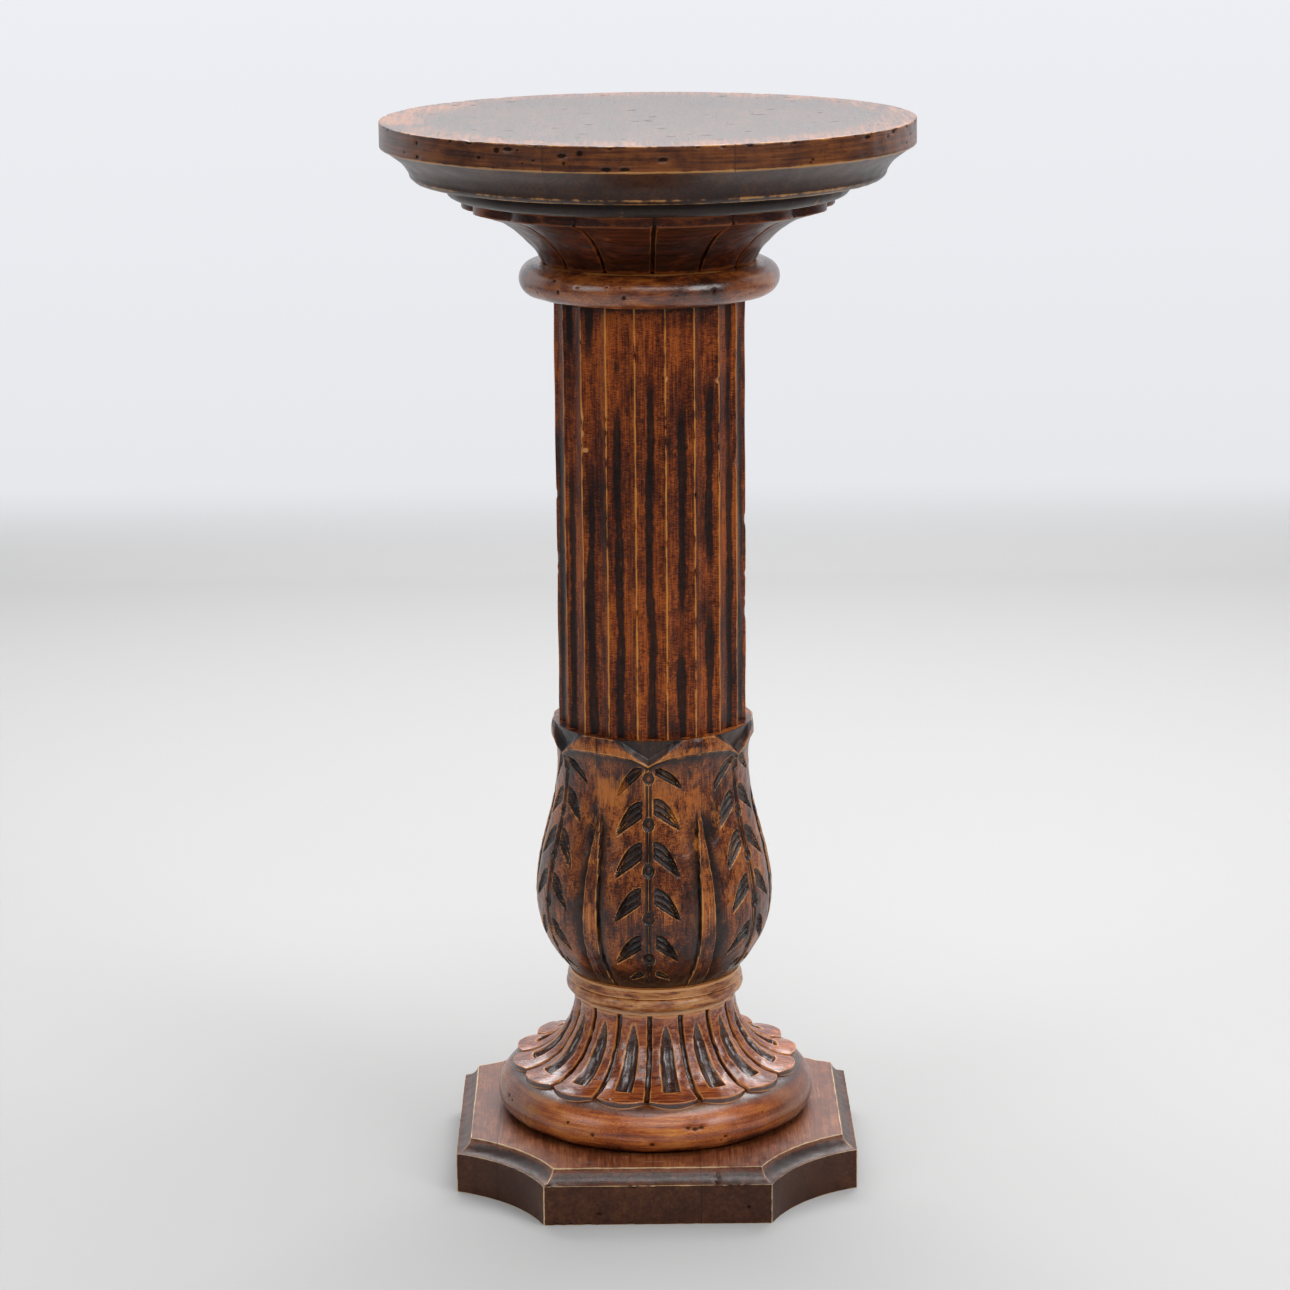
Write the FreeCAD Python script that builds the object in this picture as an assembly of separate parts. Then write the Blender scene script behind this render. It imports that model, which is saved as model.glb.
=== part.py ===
import FreeCAD, Part
import math
import os

# Pedestal column stand in turned and carved wood, millimetres, +Z up.
# The origin is on the column's axis at the underside of the plinth, the front faces -Y.
# From the floor up: plinth, base ring, petalled skirt, collar, leaf bulb, fluted shaft, neck ring,
# capital and round top. Each is a separate turning or glued-up blank, held by dowels on the axis.

Vec = FreeCAD.Vector
UP = Vec(0, 0, 1)
ORIGIN = Vec(0, 0, 0)

# Heights of the stacked pieces
PLINTH_HEIGHT = 37.5
BASE_RING_HEIGHT = 32.3
SKIRT_HEIGHT = 50.2
COLLAR_HEIGHT = 20.5
BULB_HEIGHT = 181.0
SHAFT_LENGTH = 296.5
NECK_RING_HEIGHT = 22.5
CAPITAL_HEIGHT = 44.5
TOP_THICKNESS = 51.0

# Plinth: a square with a shallow scoop out of each corner and a cove round its top edge
PLINTH_SIDE = 279.0
PLINTH_SCOOP_REACH = 61.7
PLINTH_SCOOP_SAG = 9.1
PLINTH_COVE_HEIGHT = 9.1
PLINTH_COVE_WIDTH = 10.0
PLINTH_COVE_SAG = 2.2
PLINTH_LEFT_SEAM = -110.5
PLINTH_BOARD_WIDTH = 140.0

# Base ring: half-round, fullest below its middle
BASE_RING_RADIUS = 111.8
BASE_RING_FULL_HEIGHT = 12.5
BASE_RING_FOOT_SET_IN = 11.8

# Petalled skirt: 16 petals, each with a gouged flute, parted by narrow grooves
SKIRT_PETALS = 16
SKIRT_TURN = 7.05
SKIRT_TOP_RADIUS = 57.0
SKIRT_TIP_SET_IN = 10.4
SKIRT_NOTCH_DEPTH = 6.8
SKIRT_TIP_THICKNESS = 5.4
SKIRT_GROOVE_WIDTH = 3.8
SKIRT_GROOVE_DEPTH = 3.0
SKIRT_GOUGE_TOP_WIDTH = 3.6
SKIRT_GOUGE_FOOT_WIDTH = 11.5
SKIRT_GOUGE_TOP_DEPTH = 1.2
SKIRT_GOUGE_FOOT_DEPTH = 4.2
# The flare's outline, as shares of its spread outwards and its rise
SKIRT_FLARE = ((0.0, 1.0), (0.008, 0.88), (0.035, 0.76), (0.1, 0.575), (0.2, 0.42), (0.29, 0.3), (0.45, 0.165),
               (0.68, 0.06), (1.0, 0.0))

# Collar: a quirk, a bead and a tapered fillet
COLLAR_QUIRK_DEPTH = 0.5
COLLAR_QUIRK_HEIGHT = 3.8
COLLAR_BEAD_RADIUS = 62.6
COLLAR_BEAD_HEIGHT = 10.0
COLLAR_FILLET_DEPTH = 0.8
COLLAR_TOP_MARGIN = 1.5

# Leaf bulb: six leaves with a rolled lip, notched at the stems, and six ribs between the stems
BULB_LEAVES = 6
BULB_TURN = -3.1
BULB_FOOT_RADIUS = 58.5
BULB_BELLY_RADIUS = 82.7
BULB_BELLY_HEIGHT = 55.5
BULB_FULLNESS = 2.3
BULB_SECTION_STEPS = 5
BULB_WAIST_MARGIN = 0.6
BULB_WAIST_BELOW_TOP = 29.5
BULB_LIP_MARGIN = 4.7
BULB_LIP_BELOW_TOP = 10.0
BULB_LIP_ROLL = 0.3
BULB_LIP_FLARE = (0.2, 0.52)
BULB_LEDGE_WIDTH = 3.3
BULB_NOTCH_HALF_WIDTH = 19.0
BULB_NOTCH_DEPTH = 16.5
BULB_NOTCH_FLOOR_SET_IN = 0.5
BULB_STEM_WIDTH = 4.0
BULB_STEM_DEPTH = 1.6
BULB_RIB_TOP_WIDTH = 1.6
BULB_RIB_FOOT_WIDTH = 11.0
BULB_RIB_TIP_HEIGHT = 131.0
BULB_VALLEY_TOP_WIDTH = 2.7
BULB_VALLEY_FOOT_WIDTH = 6.0
BULB_VALLEY_TOP_DEPTH = 0.6
BULB_VALLEY_FOOT_DEPTH = 2.0
BULB_VALLEY_SECTIONS = 6
BULB_BOARD_WIDTH = 72.0

# Shaft: a straight cylinder worked into flutes that meet at sharp arrises
SHAFT_ARRIS_RADIUS = 66.0
SHAFT_FLUTES = 20
SHAFT_FLUTE_DEPTH = 3.8
SHAFT_TURN = -0.3

# Neck ring: half-round
NECK_RING_RADIUS = 88.5

# Capital: a bell of 14 petals parted by grooves, cut square at the rim
CAPITAL_PETALS = 14
CAPITAL_TURN = 1.4
CAPITAL_FOOT_SET_IN = 4.75
CAPITAL_RIM_RADIUS = 126.0
CAPITAL_RIM_HEIGHT = 7.3
CAPITAL_NOTCH_DEPTH = 7.0
CAPITAL_GROOVE_WIDTH = 2.8
CAPITAL_GROOVE_DEPTH = 2.2
# The bell's outline, as shares of its spread outwards and its rise
CAPITAL_BELL = ((0.07, 0.19), (0.145, 0.31), (0.22, 0.42), (0.31, 0.54), (0.43, 0.67), (0.64, 0.84),
                (1.0, 1.0))

# Round top: a square edge over a moulding and a smaller step
TOP_RADIUS = 180.0
TOP_EDGE_HEIGHT = 17.5
TOP_EDGE_EASING = 1.0
TOP_MOULDING_WIDTH = 23.0
TOP_MOULDING_FOOT = 11.5
# The moulding's outline, as shares of its width outwards and its rise: a small round, then a cove
TOP_MOULDING = ((0.13, 0.12), (0.19, 0.3), (0.41, 0.6), (0.92, 1.0))
TOP_FOOT_MARGIN = 4.5
TOP_STEP_WIDTH = 6.5
TOP_STEP_HEIGHT = 7.0
TOP_SEAM_OFFSET = -42.0
TOP_SEAM_TURN = 8.5
TOP_BOARD_WIDTH = 120.0

# Dowels on the axis and screws under the plinth
DOWEL_RADIUS = 16.0
DOWEL_CHAMFER = 2.0
DOWEL_IN_TOP = 30.0
DOWEL_IN_SHAFT = 45.0
DOWEL_IN_BULB = 45.0
DOWEL_IN_BASE_RING = 16.0
GLUE_GAP = 0.1
DOWEL_END_GAP = 1.0
SCREW_CIRCLE_RADIUS = 82.0
SCREW_TURN = 45.0
SCREW_COVER = 7.8
SCREW_SHANK_RADIUS = 2.5
SCREW_HEAD_RADIUS = 5.0
SCREW_HEAD_HEIGHT = 3.0
SCREW_HEAD_RECESS = 2.0
SCREW_COUNT = 4

# How far a cutter runs past what it cuts
OVERCUT = 1.0

# Levels that follow from the heights
Z_BASE_RING = PLINTH_HEIGHT
Z_SKIRT = Z_BASE_RING + BASE_RING_HEIGHT
Z_COLLAR = Z_SKIRT + SKIRT_HEIGHT
Z_BULB = Z_COLLAR + COLLAR_HEIGHT
Z_SHAFT = Z_BULB + BULB_HEIGHT
Z_NECK_RING = Z_SHAFT + SHAFT_LENGTH
Z_CAPITAL = Z_NECK_RING + NECK_RING_HEIGHT
Z_TOP = Z_CAPITAL + CAPITAL_HEIGHT
TOTAL_HEIGHT = Z_TOP + TOP_THICKNESS

# Sizes that follow from what each piece sits on
BASE_RING_SHOULDER = BASE_RING_HEIGHT - BASE_RING_FULL_HEIGHT
SKIRT_TIP_RADIUS = BASE_RING_RADIUS - SKIRT_TIP_SET_IN
BULB_WAIST_RADIUS = SHAFT_ARRIS_RADIUS + BULB_WAIST_MARGIN
BULB_WAIST_HEIGHT = BULB_HEIGHT - BULB_WAIST_BELOW_TOP
BULB_LIP_RADIUS = SHAFT_ARRIS_RADIUS + BULB_LIP_MARGIN
BULB_TOP_RADIUS = SHAFT_ARRIS_RADIUS + BULB_LEDGE_WIDTH
NECK_RING_FLAT_RADIUS = NECK_RING_RADIUS - NECK_RING_HEIGHT / 2
CAPITAL_FOOT_RADIUS = NECK_RING_FLAT_RADIUS - CAPITAL_FOOT_SET_IN
TOP_FOOT_RADIUS = CAPITAL_RIM_RADIUS + TOP_FOOT_MARGIN


def turn_point(radius, azimuth, height=0.0):
    """Point at a radius and a height, azimuth in degrees from the front towards +X."""
    angle = math.radians(azimuth)
    return Vec(radius * math.sin(angle), -radius * math.cos(angle), height)


def blend(first, last, share):
    """Value a share of the way from the first to the last."""
    return first + (last - first) * share


class Outline:
    """Half of a turning's section, drawn edge by edge: radius outwards, height upwards."""

    def __init__(self, radius, height):
        self.start = Vec(radius, 0, height)
        self.end = self.start
        self.edges = []

    def line(self, radius, height):
        """Straight edge to a point."""
        end = Vec(radius, 0, height)
        self.edges.append(Part.LineSegment(self.end, end).toShape())
        self.end = end
        return self

    def arc(self, through, end):
        """Round edge through one (radius, height) point to another."""
        middle = Vec(through[0], 0, through[1])
        end = Vec(end[0], 0, end[1])
        self.edges.append(Part.Arc(self.end, middle, end).toShape())
        self.end = end
        return self

    def round_out(self, radius, height):
        """Convex quarter round to a point, leaving level and arriving upright."""
        diagonal = math.sqrt(0.5)
        return self.arc((blend(self.end.x, radius, diagonal), blend(self.end.z, height, 1 - diagonal)),
                        (radius, height))

    def round_in(self, radius, height):
        """Convex quarter round to a point, leaving upright and arriving level."""
        diagonal = math.sqrt(0.5)
        return self.arc((blend(self.end.x, radius, 1 - diagonal), blend(self.end.z, height, diagonal)),
                        (radius, height))

    def curve(self, *points):
        """Smooth edge through several (radius, height) points."""
        knots = [self.end] + [Vec(radius, 0, height) for radius, height in points]
        spline = Part.BSplineCurve()
        spline.interpolate(knots)
        self.edges.append(spline.toShape())
        self.end = knots[-1]
        return self

    def turned(self):
        """Close the outline and turn it a full circle about the axis."""
        self.line(self.start.x, self.start.z)
        face = Part.Face(Part.Wire(self.edges))
        return face.revolve(ORIGIN, UP, 360)


def around(piece, count, turn):
    """Copies of a cutter made at the front, turned about the axis, the first one by turn."""
    copies = []
    for index in range(count):
        copy = piece.copy()
        copy.rotate(ORIGIN, UP, turn + index * 360.0 / count)
        copies.append(copy)
    return copies


def radial_slab(width, outer, low, high):
    """Upright slab that runs from the axis to the front, for cutting a groove of even width."""
    return Part.makeBox(width, outer, high - low, Vec(-width / 2, -outer, low))


def swept_gouge(path, widths, depths):
    """Round-bottomed gouge cut along a path of (point, outward normal), widening as it goes."""
    sections = []
    for index, (point, normal) in enumerate(path):
        ahead = path[min(index + 1, len(path) - 1)][0]
        behind = path[max(index - 1, 0)][0]
        radius = (widths[index] ** 2 / 4 + depths[index] ** 2) / (2 * depths[index])
        centre = point + normal * (radius - depths[index])
        circle = Part.Circle(centre, ahead - behind, radius)
        sections.append(Part.Wire(circle.toShape()))
    return Part.makeLoft(sections, True)


def scalloped_disc(count, turn, tip, notch, low, high):
    """Upright disc whose rim is a row of round petal ends, a petal between each two notches."""
    step = 360.0 / count
    edges = []
    for index in range(count):
        first = turn + index * step
        edges.append(Part.Arc(turn_point(notch, first, low), turn_point(tip, first + step / 2, low),
                              turn_point(notch, first + step, low)).toShape())
    return Part.Face(Part.Wire(edges)).extrude(Vec(0, 0, high - low))


def split_into_boards(piece, seams, turn, reach, low, high):
    """Cut a blank along upright seams at the given distances from the axis, left to right."""
    edges = [-reach] + list(seams) + [reach]
    boards = []
    for left, right in zip(edges, edges[1:]):
        slab = Part.makeBox(right - left, 2 * reach, high - low, Vec(left, -reach, low))
        slab.rotate(ORIGIN, UP, turn)
        boards.append(piece.common(slab))
    return boards


def dowel(low, high):
    """Plain dowel with eased ends."""
    return (Outline(0, low).line(DOWEL_RADIUS - DOWEL_CHAMFER, low)
            .line(DOWEL_RADIUS, low + DOWEL_CHAMFER).line(DOWEL_RADIUS, high - DOWEL_CHAMFER)
            .line(DOWEL_RADIUS - DOWEL_CHAMFER, high).line(0, high).turned())


def dowel_bore(low, high):
    """Bore for a dowel, with room for glue round it and at its ends."""
    return Part.makeCylinder(DOWEL_RADIUS + GLUE_GAP, high - low + 2 * DOWEL_END_GAP,
                             Vec(0, 0, low - DOWEL_END_GAP))


# The dowels' ends
LOWER_DOWEL = (Z_SKIRT - DOWEL_IN_BASE_RING, Z_BULB + DOWEL_IN_BULB)
MIDDLE_DOWEL = (Z_SHAFT - DOWEL_IN_BULB, Z_SHAFT + DOWEL_IN_SHAFT)
UPPER_DOWEL = (Z_NECK_RING - DOWEL_IN_SHAFT, Z_TOP + DOWEL_IN_TOP)


# --- Plinth and its screws

def plinth_scoop_radius():
    """Radius of the scoop that takes off a corner, from its chord and sag."""
    half_chord = PLINTH_SCOOP_REACH * math.sqrt(2) / 2
    return (half_chord ** 2 + PLINTH_SCOOP_SAG ** 2) / (2 * PLINTH_SCOOP_SAG)


def cove_middle():
    """Middle of the plinth's hollow cove: distance in from the upright face, and height."""
    slope = math.hypot(PLINTH_COVE_WIDTH, PLINTH_COVE_HEIGHT)
    inward = PLINTH_COVE_WIDTH / 2 + PLINTH_COVE_SAG * PLINTH_COVE_HEIGHT / slope
    height = PLINTH_HEIGHT - PLINTH_COVE_HEIGHT / 2 - PLINTH_COVE_SAG * PLINTH_COVE_WIDTH / slope
    return inward, height


def make_plinth():
    """Square plinth with scooped corners and a coved top edge, before it is cut into boards."""
    half = PLINTH_SIDE / 2
    clear = PLINTH_HEIGHT + PLINTH_COVE_WIDTH
    foot = PLINTH_HEIGHT - PLINTH_COVE_HEIGHT
    inward, middle_height = cove_middle()
    block = Part.makeBox(PLINTH_SIDE, PLINTH_SIDE, PLINTH_HEIGHT, Vec(-half, -half, 0))

    cove = Outline(half, foot).arc((half - inward, middle_height), (half - PLINTH_COVE_WIDTH, PLINTH_HEIGHT))
    cove.line(half - PLINTH_COVE_WIDTH, clear).line(half + PLINTH_COVE_WIDTH, clear)
    cove.line(half + PLINTH_COVE_WIDTH, foot).line(half, foot)
    side = Part.Face(Part.Wire(cove.edges)).extrude(Vec(0, 2 * PLINTH_SIDE, 0))
    side.translate(Vec(0, -PLINTH_SIDE, 0))

    radius = plinth_scoop_radius()
    scoop = Outline(0, -PLINTH_HEIGHT).line(radius, -PLINTH_HEIGHT).line(radius, foot)
    scoop.arc((radius + inward, middle_height), (radius + PLINTH_COVE_WIDTH, PLINTH_HEIGHT))
    scoop.line(radius + PLINTH_COVE_WIDTH, clear).line(0, clear)
    corner = scoop.turned()
    chord_distance = (PLINTH_SIDE - PLINTH_SCOOP_REACH) / math.sqrt(2)
    corner.translate(turn_point(chord_distance - PLINTH_SCOOP_SAG + radius, 45))
    return block.cut(around(side, 4, 0.0) + around(corner, 4, 0.0))


def screw_places():
    """Centres of the screws on the underside."""
    return [turn_point(SCREW_CIRCLE_RADIUS, SCREW_TURN + index * 360.0 / SCREW_COUNT)
            for index in range(SCREW_COUNT)]


def screw_body(place, gap):
    """Countersunk screw, or its clearance hole when given a gap."""
    neck = SCREW_HEAD_RECESS + SCREW_HEAD_HEIGHT
    tip = Z_SKIRT - SCREW_COVER
    head = SCREW_HEAD_RADIUS + gap
    shank = SCREW_SHANK_RADIUS + gap
    outline = Outline(0, 0 if gap else SCREW_HEAD_RECESS)
    if gap:
        outline.line(head, 0)
    outline.line(head, SCREW_HEAD_RECESS).line(shank, neck + gap)
    outline.line(shank, tip - 2 * SCREW_SHANK_RADIUS + gap).line(0, tip + gap)
    body = outline.turned()
    body.translate(place)
    return body


def screw_holes():
    """Clearance holes for all the screws."""
    return [screw_body(place, GLUE_GAP) for place in screw_places()]


# --- Base ring, skirt and collar

def make_base_ring():
    """Large half-round ring, flat on the plinth."""
    outline = Outline(0, Z_BASE_RING).line(BASE_RING_RADIUS - BASE_RING_FOOT_SET_IN, Z_BASE_RING)
    outline.round_out(BASE_RING_RADIUS, Z_BASE_RING + BASE_RING_FULL_HEIGHT)
    outline.round_in(BASE_RING_RADIUS - BASE_RING_SHOULDER, Z_SKIRT).line(0, Z_SKIRT)
    return outline.turned().cut([dowel_bore(*LOWER_DOWEL)] + screw_holes())


def skirt_tip_height():
    """Height of a petal's upper edge at its tip, over the base ring's shoulder."""
    middle = BASE_RING_RADIUS - BASE_RING_SHOULDER
    drop = BASE_RING_SHOULDER - math.sqrt(BASE_RING_SHOULDER ** 2 - (SKIRT_TIP_RADIUS - middle) ** 2)
    return Z_SKIRT - drop + SKIRT_TIP_THICKNESS


def skirt_flare(depth=0.0):
    """Points of the skirt's flare from its top out to the tips, set in by a depth."""
    spread = SKIRT_TIP_RADIUS - SKIRT_TOP_RADIUS
    tip = skirt_tip_height()
    rise = Z_COLLAR - tip
    return [(SKIRT_TOP_RADIUS + spread * out - depth * math.sqrt(up),
             tip + rise * up - depth * math.sqrt(1 - up)) for out, up in SKIRT_FLARE]


def skirt_body(depth=0.0):
    """The turned skirt before carving, or the core that its carving stops at."""
    flare = skirt_flare(depth)
    outline = Outline(0, Z_COLLAR).line(flare[0][0], Z_COLLAR)
    if depth:
        flare[0] = (flare[0][0], Z_COLLAR)
        flare[-1] = (SKIRT_TIP_RADIUS + depth, flare[-1][1])
    outline.curve(*flare[1:])
    outline.line(flare[-1][0], Z_BASE_RING).line(0, Z_BASE_RING)
    return outline.turned()


def skirt_gouge_path():
    """Where a petal's gouge runs, from a point near the top down to its square foot."""
    flare = skirt_flare()
    path = []
    for index in range(1, len(flare) - 1):
        radius, height = flare[index]
        run = flare[index + 1][0] - flare[index - 1][0]
        drop = flare[index - 1][1] - flare[index + 1][1]
        length = math.hypot(run, drop)
        path.append((Vec(0, -radius, height), Vec(0, -drop / length, run / length)))
    return path


def make_skirt():
    """Petalled skirt: the flare, cut to petal ends in plan, with grooves and gouges."""
    under = Outline(0, Z_BASE_RING).line(BASE_RING_RADIUS, Z_BASE_RING)
    under.line(BASE_RING_RADIUS, Z_BASE_RING + BASE_RING_FULL_HEIGHT)
    under.round_in(BASE_RING_RADIUS - BASE_RING_SHOULDER, Z_SKIRT).line(0, Z_SKIRT)
    body = skirt_body().cut(under.turned())
    petals = scalloped_disc(SKIRT_PETALS, SKIRT_TURN - 180.0 / SKIRT_PETALS, SKIRT_TIP_RADIUS,
                            SKIRT_TIP_RADIUS - SKIRT_NOTCH_DEPTH, Z_BASE_RING, Z_COLLAR)
    body = body.common(petals)
    core = skirt_body(SKIRT_GROOVE_DEPTH)
    slab = radial_slab(SKIRT_GROOVE_WIDTH, BASE_RING_RADIUS, Z_BASE_RING, Z_COLLAR + OVERCUT)
    grooves = around(slab.cut(core), SKIRT_PETALS, SKIRT_TURN + 180.0 / SKIRT_PETALS)
    path = skirt_gouge_path()
    shares = [index / (len(path) - 1) for index in range(len(path))]
    widths = [blend(SKIRT_GOUGE_TOP_WIDTH, SKIRT_GOUGE_FOOT_WIDTH, share) for share in shares]
    depths = [blend(SKIRT_GOUGE_TOP_DEPTH, SKIRT_GOUGE_FOOT_DEPTH, share) for share in shares]
    gouges = around(swept_gouge(path, widths, depths), SKIRT_PETALS, SKIRT_TURN)
    return body.cut(grooves + gouges + [dowel_bore(*LOWER_DOWEL)])


def make_collar():
    """Bead between the skirt and the bulb, with a quirk below and a tapered fillet above."""
    quirk = Z_COLLAR + COLLAR_QUIRK_HEIGHT
    bead = quirk + COLLAR_BEAD_HEIGHT
    inner = COLLAR_BEAD_RADIUS - COLLAR_BEAD_HEIGHT / 2
    neck = SKIRT_TOP_RADIUS - COLLAR_QUIRK_DEPTH
    outline = Outline(0, Z_COLLAR).line(neck, Z_COLLAR).line(neck, quirk).line(inner, quirk)
    outline.arc((COLLAR_BEAD_RADIUS, (quirk + bead) / 2), (inner, bead))
    outline.line(COLLAR_BEAD_RADIUS - COLLAR_FILLET_DEPTH, bead)
    outline.line(BULB_FOOT_RADIUS + COLLAR_TOP_MARGIN, Z_BULB).line(0, Z_BULB)
    return outline.turned().cut(dowel_bore(*LOWER_DOWEL))


# --- Leaf bulb

def bulb_radius(height):
    """Radius of the turned bulb between its foot and its waist, at a height above the foot."""
    if height < BULB_BELLY_HEIGHT:
        share = 1 - (1 - height / BULB_BELLY_HEIGHT) ** BULB_FULLNESS
        return blend(BULB_FOOT_RADIUS, BULB_BELLY_RADIUS, share)
    rise = (height - BULB_BELLY_HEIGHT) / (BULB_WAIST_HEIGHT - BULB_BELLY_HEIGHT)
    return blend(BULB_BELLY_RADIUS, BULB_WAIST_RADIUS, (1 - math.cos(math.pi * rise)) / 2)


def bulb_section(low, high, steps):
    """Evenly spaced (radius, height) points up the bulb, heights above its foot."""
    heights = [blend(low, high, index / steps) for index in range(steps + 1)]
    return [(bulb_radius(height), height) for height in heights]


def bulb_body(depth=0.0):
    """The turned bulb with its lip all round, or the core that its carving stops at."""
    below = bulb_section(0.0, BULB_BELLY_HEIGHT, BULB_SECTION_STEPS)
    above = bulb_section(BULB_BELLY_HEIGHT, BULB_WAIST_HEIGHT, BULB_SECTION_STEPS)
    points = [(radius - depth, Z_BULB + height) for radius, height in below + above[1:]]
    lip = Z_SHAFT - BULB_LIP_BELOW_TOP
    waist = Z_BULB + BULB_WAIST_HEIGHT
    outline = Outline(0, Z_BULB).line(points[0][0], Z_BULB).curve(*points[1:])
    if depth:
        return outline.line(points[-1][0], Z_SHAFT).line(0, Z_SHAFT).turned()
    out, up = BULB_LIP_FLARE
    outline.curve((blend(BULB_WAIST_RADIUS, BULB_LIP_RADIUS, out), blend(waist, lip, up)),
                  (BULB_LIP_RADIUS, lip))
    middle = ((BULB_LIP_RADIUS + BULB_TOP_RADIUS) / 2 + BULB_LIP_ROLL, (lip + Z_SHAFT) / 2)
    return outline.arc(middle, (BULB_TOP_RADIUS, Z_SHAFT)).line(0, Z_SHAFT).turned()


def bulb_notch():
    """Cutter for the notch between two leaves' lips, down to a sloping floor."""
    apex = Z_SHAFT - BULB_NOTCH_DEPTH
    outer = 2 * BULB_LIP_RADIUS
    corners = [Vec(0, -outer, apex), Vec(BULB_NOTCH_HALF_WIDTH, -outer, Z_SHAFT),
               Vec(BULB_NOTCH_HALF_WIDTH, -outer, Z_SHAFT + BULB_NOTCH_DEPTH),
               Vec(-BULB_NOTCH_HALF_WIDTH, -outer, Z_SHAFT + BULB_NOTCH_DEPTH),
               Vec(-BULB_NOTCH_HALF_WIDTH, -outer, Z_SHAFT)]
    wedge = Part.Face(Part.makePolygon(corners + corners[:1])).extrude(Vec(0, outer, 0))
    top = BULB_TOP_RADIUS - BULB_NOTCH_FLOOR_SET_IN
    foot = BULB_WAIST_RADIUS - BULB_NOTCH_FLOOR_SET_IN
    floor = Outline(0, apex - BULB_NOTCH_DEPTH).line(foot, apex - BULB_NOTCH_DEPTH).line(foot, apex)
    floor.line(top, Z_SHAFT).line(0, Z_SHAFT)
    return wedge.cut(floor.turned())


def bulb_valley(side):
    """Gouge down one side of a rib, spreading from the rib's tip to the bulb's foot."""
    path, widths, depths = [], [], []
    for radius, height in bulb_section(0.0, BULB_RIB_TIP_HEIGHT, BULB_VALLEY_SECTIONS):
        share = 1 - height / BULB_RIB_TIP_HEIGHT
        rib = blend(BULB_RIB_TOP_WIDTH, BULB_RIB_FOOT_WIDTH, share)
        width = blend(BULB_VALLEY_TOP_WIDTH, BULB_VALLEY_FOOT_WIDTH, share)
        azimuth = side * math.degrees((rib + width) / 2 / radius)
        path.append((turn_point(radius, azimuth, Z_BULB + height), turn_point(1.0, azimuth)))
        widths.append(width)
        depths.append(blend(BULB_VALLEY_TOP_DEPTH, BULB_VALLEY_FOOT_DEPTH, share))
    return swept_gouge(path, widths, depths)


def make_bulb():
    """Carved bulb, before it is cut into boards."""
    first_rib = BULB_TURN + 180.0 / BULB_LEAVES
    stem = radial_slab(BULB_STEM_WIDTH, 2 * BULB_LIP_RADIUS, Z_BULB, Z_SHAFT - BULB_NOTCH_DEPTH)
    stem = stem.cut(bulb_body(BULB_STEM_DEPTH))
    cutters = around(bulb_notch(), BULB_LEAVES, BULB_TURN) + around(stem, BULB_LEAVES, BULB_TURN)
    for side in (-1, 1):
        cutters += around(bulb_valley(side), BULB_LEAVES, first_rib)
    cutters += [dowel_bore(*LOWER_DOWEL), dowel_bore(*MIDDLE_DOWEL)]
    return bulb_body().cut(cutters)


# --- Shaft, neck ring and capital

def make_shaft():
    """Fluted shaft: the section of hollow flutes drawn up its whole length."""
    step = 360.0 / SHAFT_FLUTES
    edges = []
    for index in range(SHAFT_FLUTES):
        first = SHAFT_TURN + (index - 0.5) * step
        edges.append(Part.Arc(turn_point(SHAFT_ARRIS_RADIUS, first, Z_SHAFT),
                              turn_point(SHAFT_ARRIS_RADIUS - SHAFT_FLUTE_DEPTH, first + step / 2, Z_SHAFT),
                              turn_point(SHAFT_ARRIS_RADIUS, first + step, Z_SHAFT)).toShape())
    body = Part.Face(Part.Wire(edges)).extrude(Vec(0, 0, SHAFT_LENGTH))
    return body.cut([dowel_bore(*MIDDLE_DOWEL), dowel_bore(*UPPER_DOWEL)])


def make_neck_ring():
    """Half-round ring between the shaft and the capital."""
    flat = NECK_RING_FLAT_RADIUS
    outline = Outline(0, Z_NECK_RING).line(flat, Z_NECK_RING)
    outline.arc((NECK_RING_RADIUS, Z_NECK_RING + NECK_RING_HEIGHT / 2), (flat, Z_CAPITAL)).line(0, Z_CAPITAL)
    return outline.turned().cut(dowel_bore(*UPPER_DOWEL))


def capital_body(depth=0.0):
    """The turned bell, or the core that its grooves stop at."""
    rim = Z_TOP - CAPITAL_RIM_HEIGHT
    spread = CAPITAL_RIM_RADIUS - CAPITAL_FOOT_RADIUS
    rise = rim - Z_CAPITAL
    bell = [(CAPITAL_FOOT_RADIUS + spread * out - depth * math.sqrt(1 - out),
             Z_CAPITAL + rise * up + depth * math.sqrt(out)) for out, up in CAPITAL_BELL]
    outline = Outline(0, Z_CAPITAL).line(CAPITAL_FOOT_RADIUS - depth, Z_CAPITAL).curve(*bell)
    return outline.line(CAPITAL_RIM_RADIUS, Z_TOP).line(0, Z_TOP).turned()


def make_capital():
    """Petalled capital: the bell, cut to round petal ends in plan, with a groove at each notch."""
    petals = scalloped_disc(CAPITAL_PETALS, CAPITAL_TURN, CAPITAL_RIM_RADIUS,
                            CAPITAL_RIM_RADIUS - CAPITAL_NOTCH_DEPTH, Z_CAPITAL, Z_TOP)
    slab = radial_slab(CAPITAL_GROOVE_WIDTH, 2 * CAPITAL_RIM_RADIUS, Z_CAPITAL - OVERCUT,
                       Z_TOP - CAPITAL_GROOVE_DEPTH)
    grooves = around(slab.cut(capital_body(CAPITAL_GROOVE_DEPTH)), CAPITAL_PETALS, CAPITAL_TURN)
    return capital_body().common(petals).cut(grooves + [dowel_bore(*UPPER_DOWEL)])


# --- Round top

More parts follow.
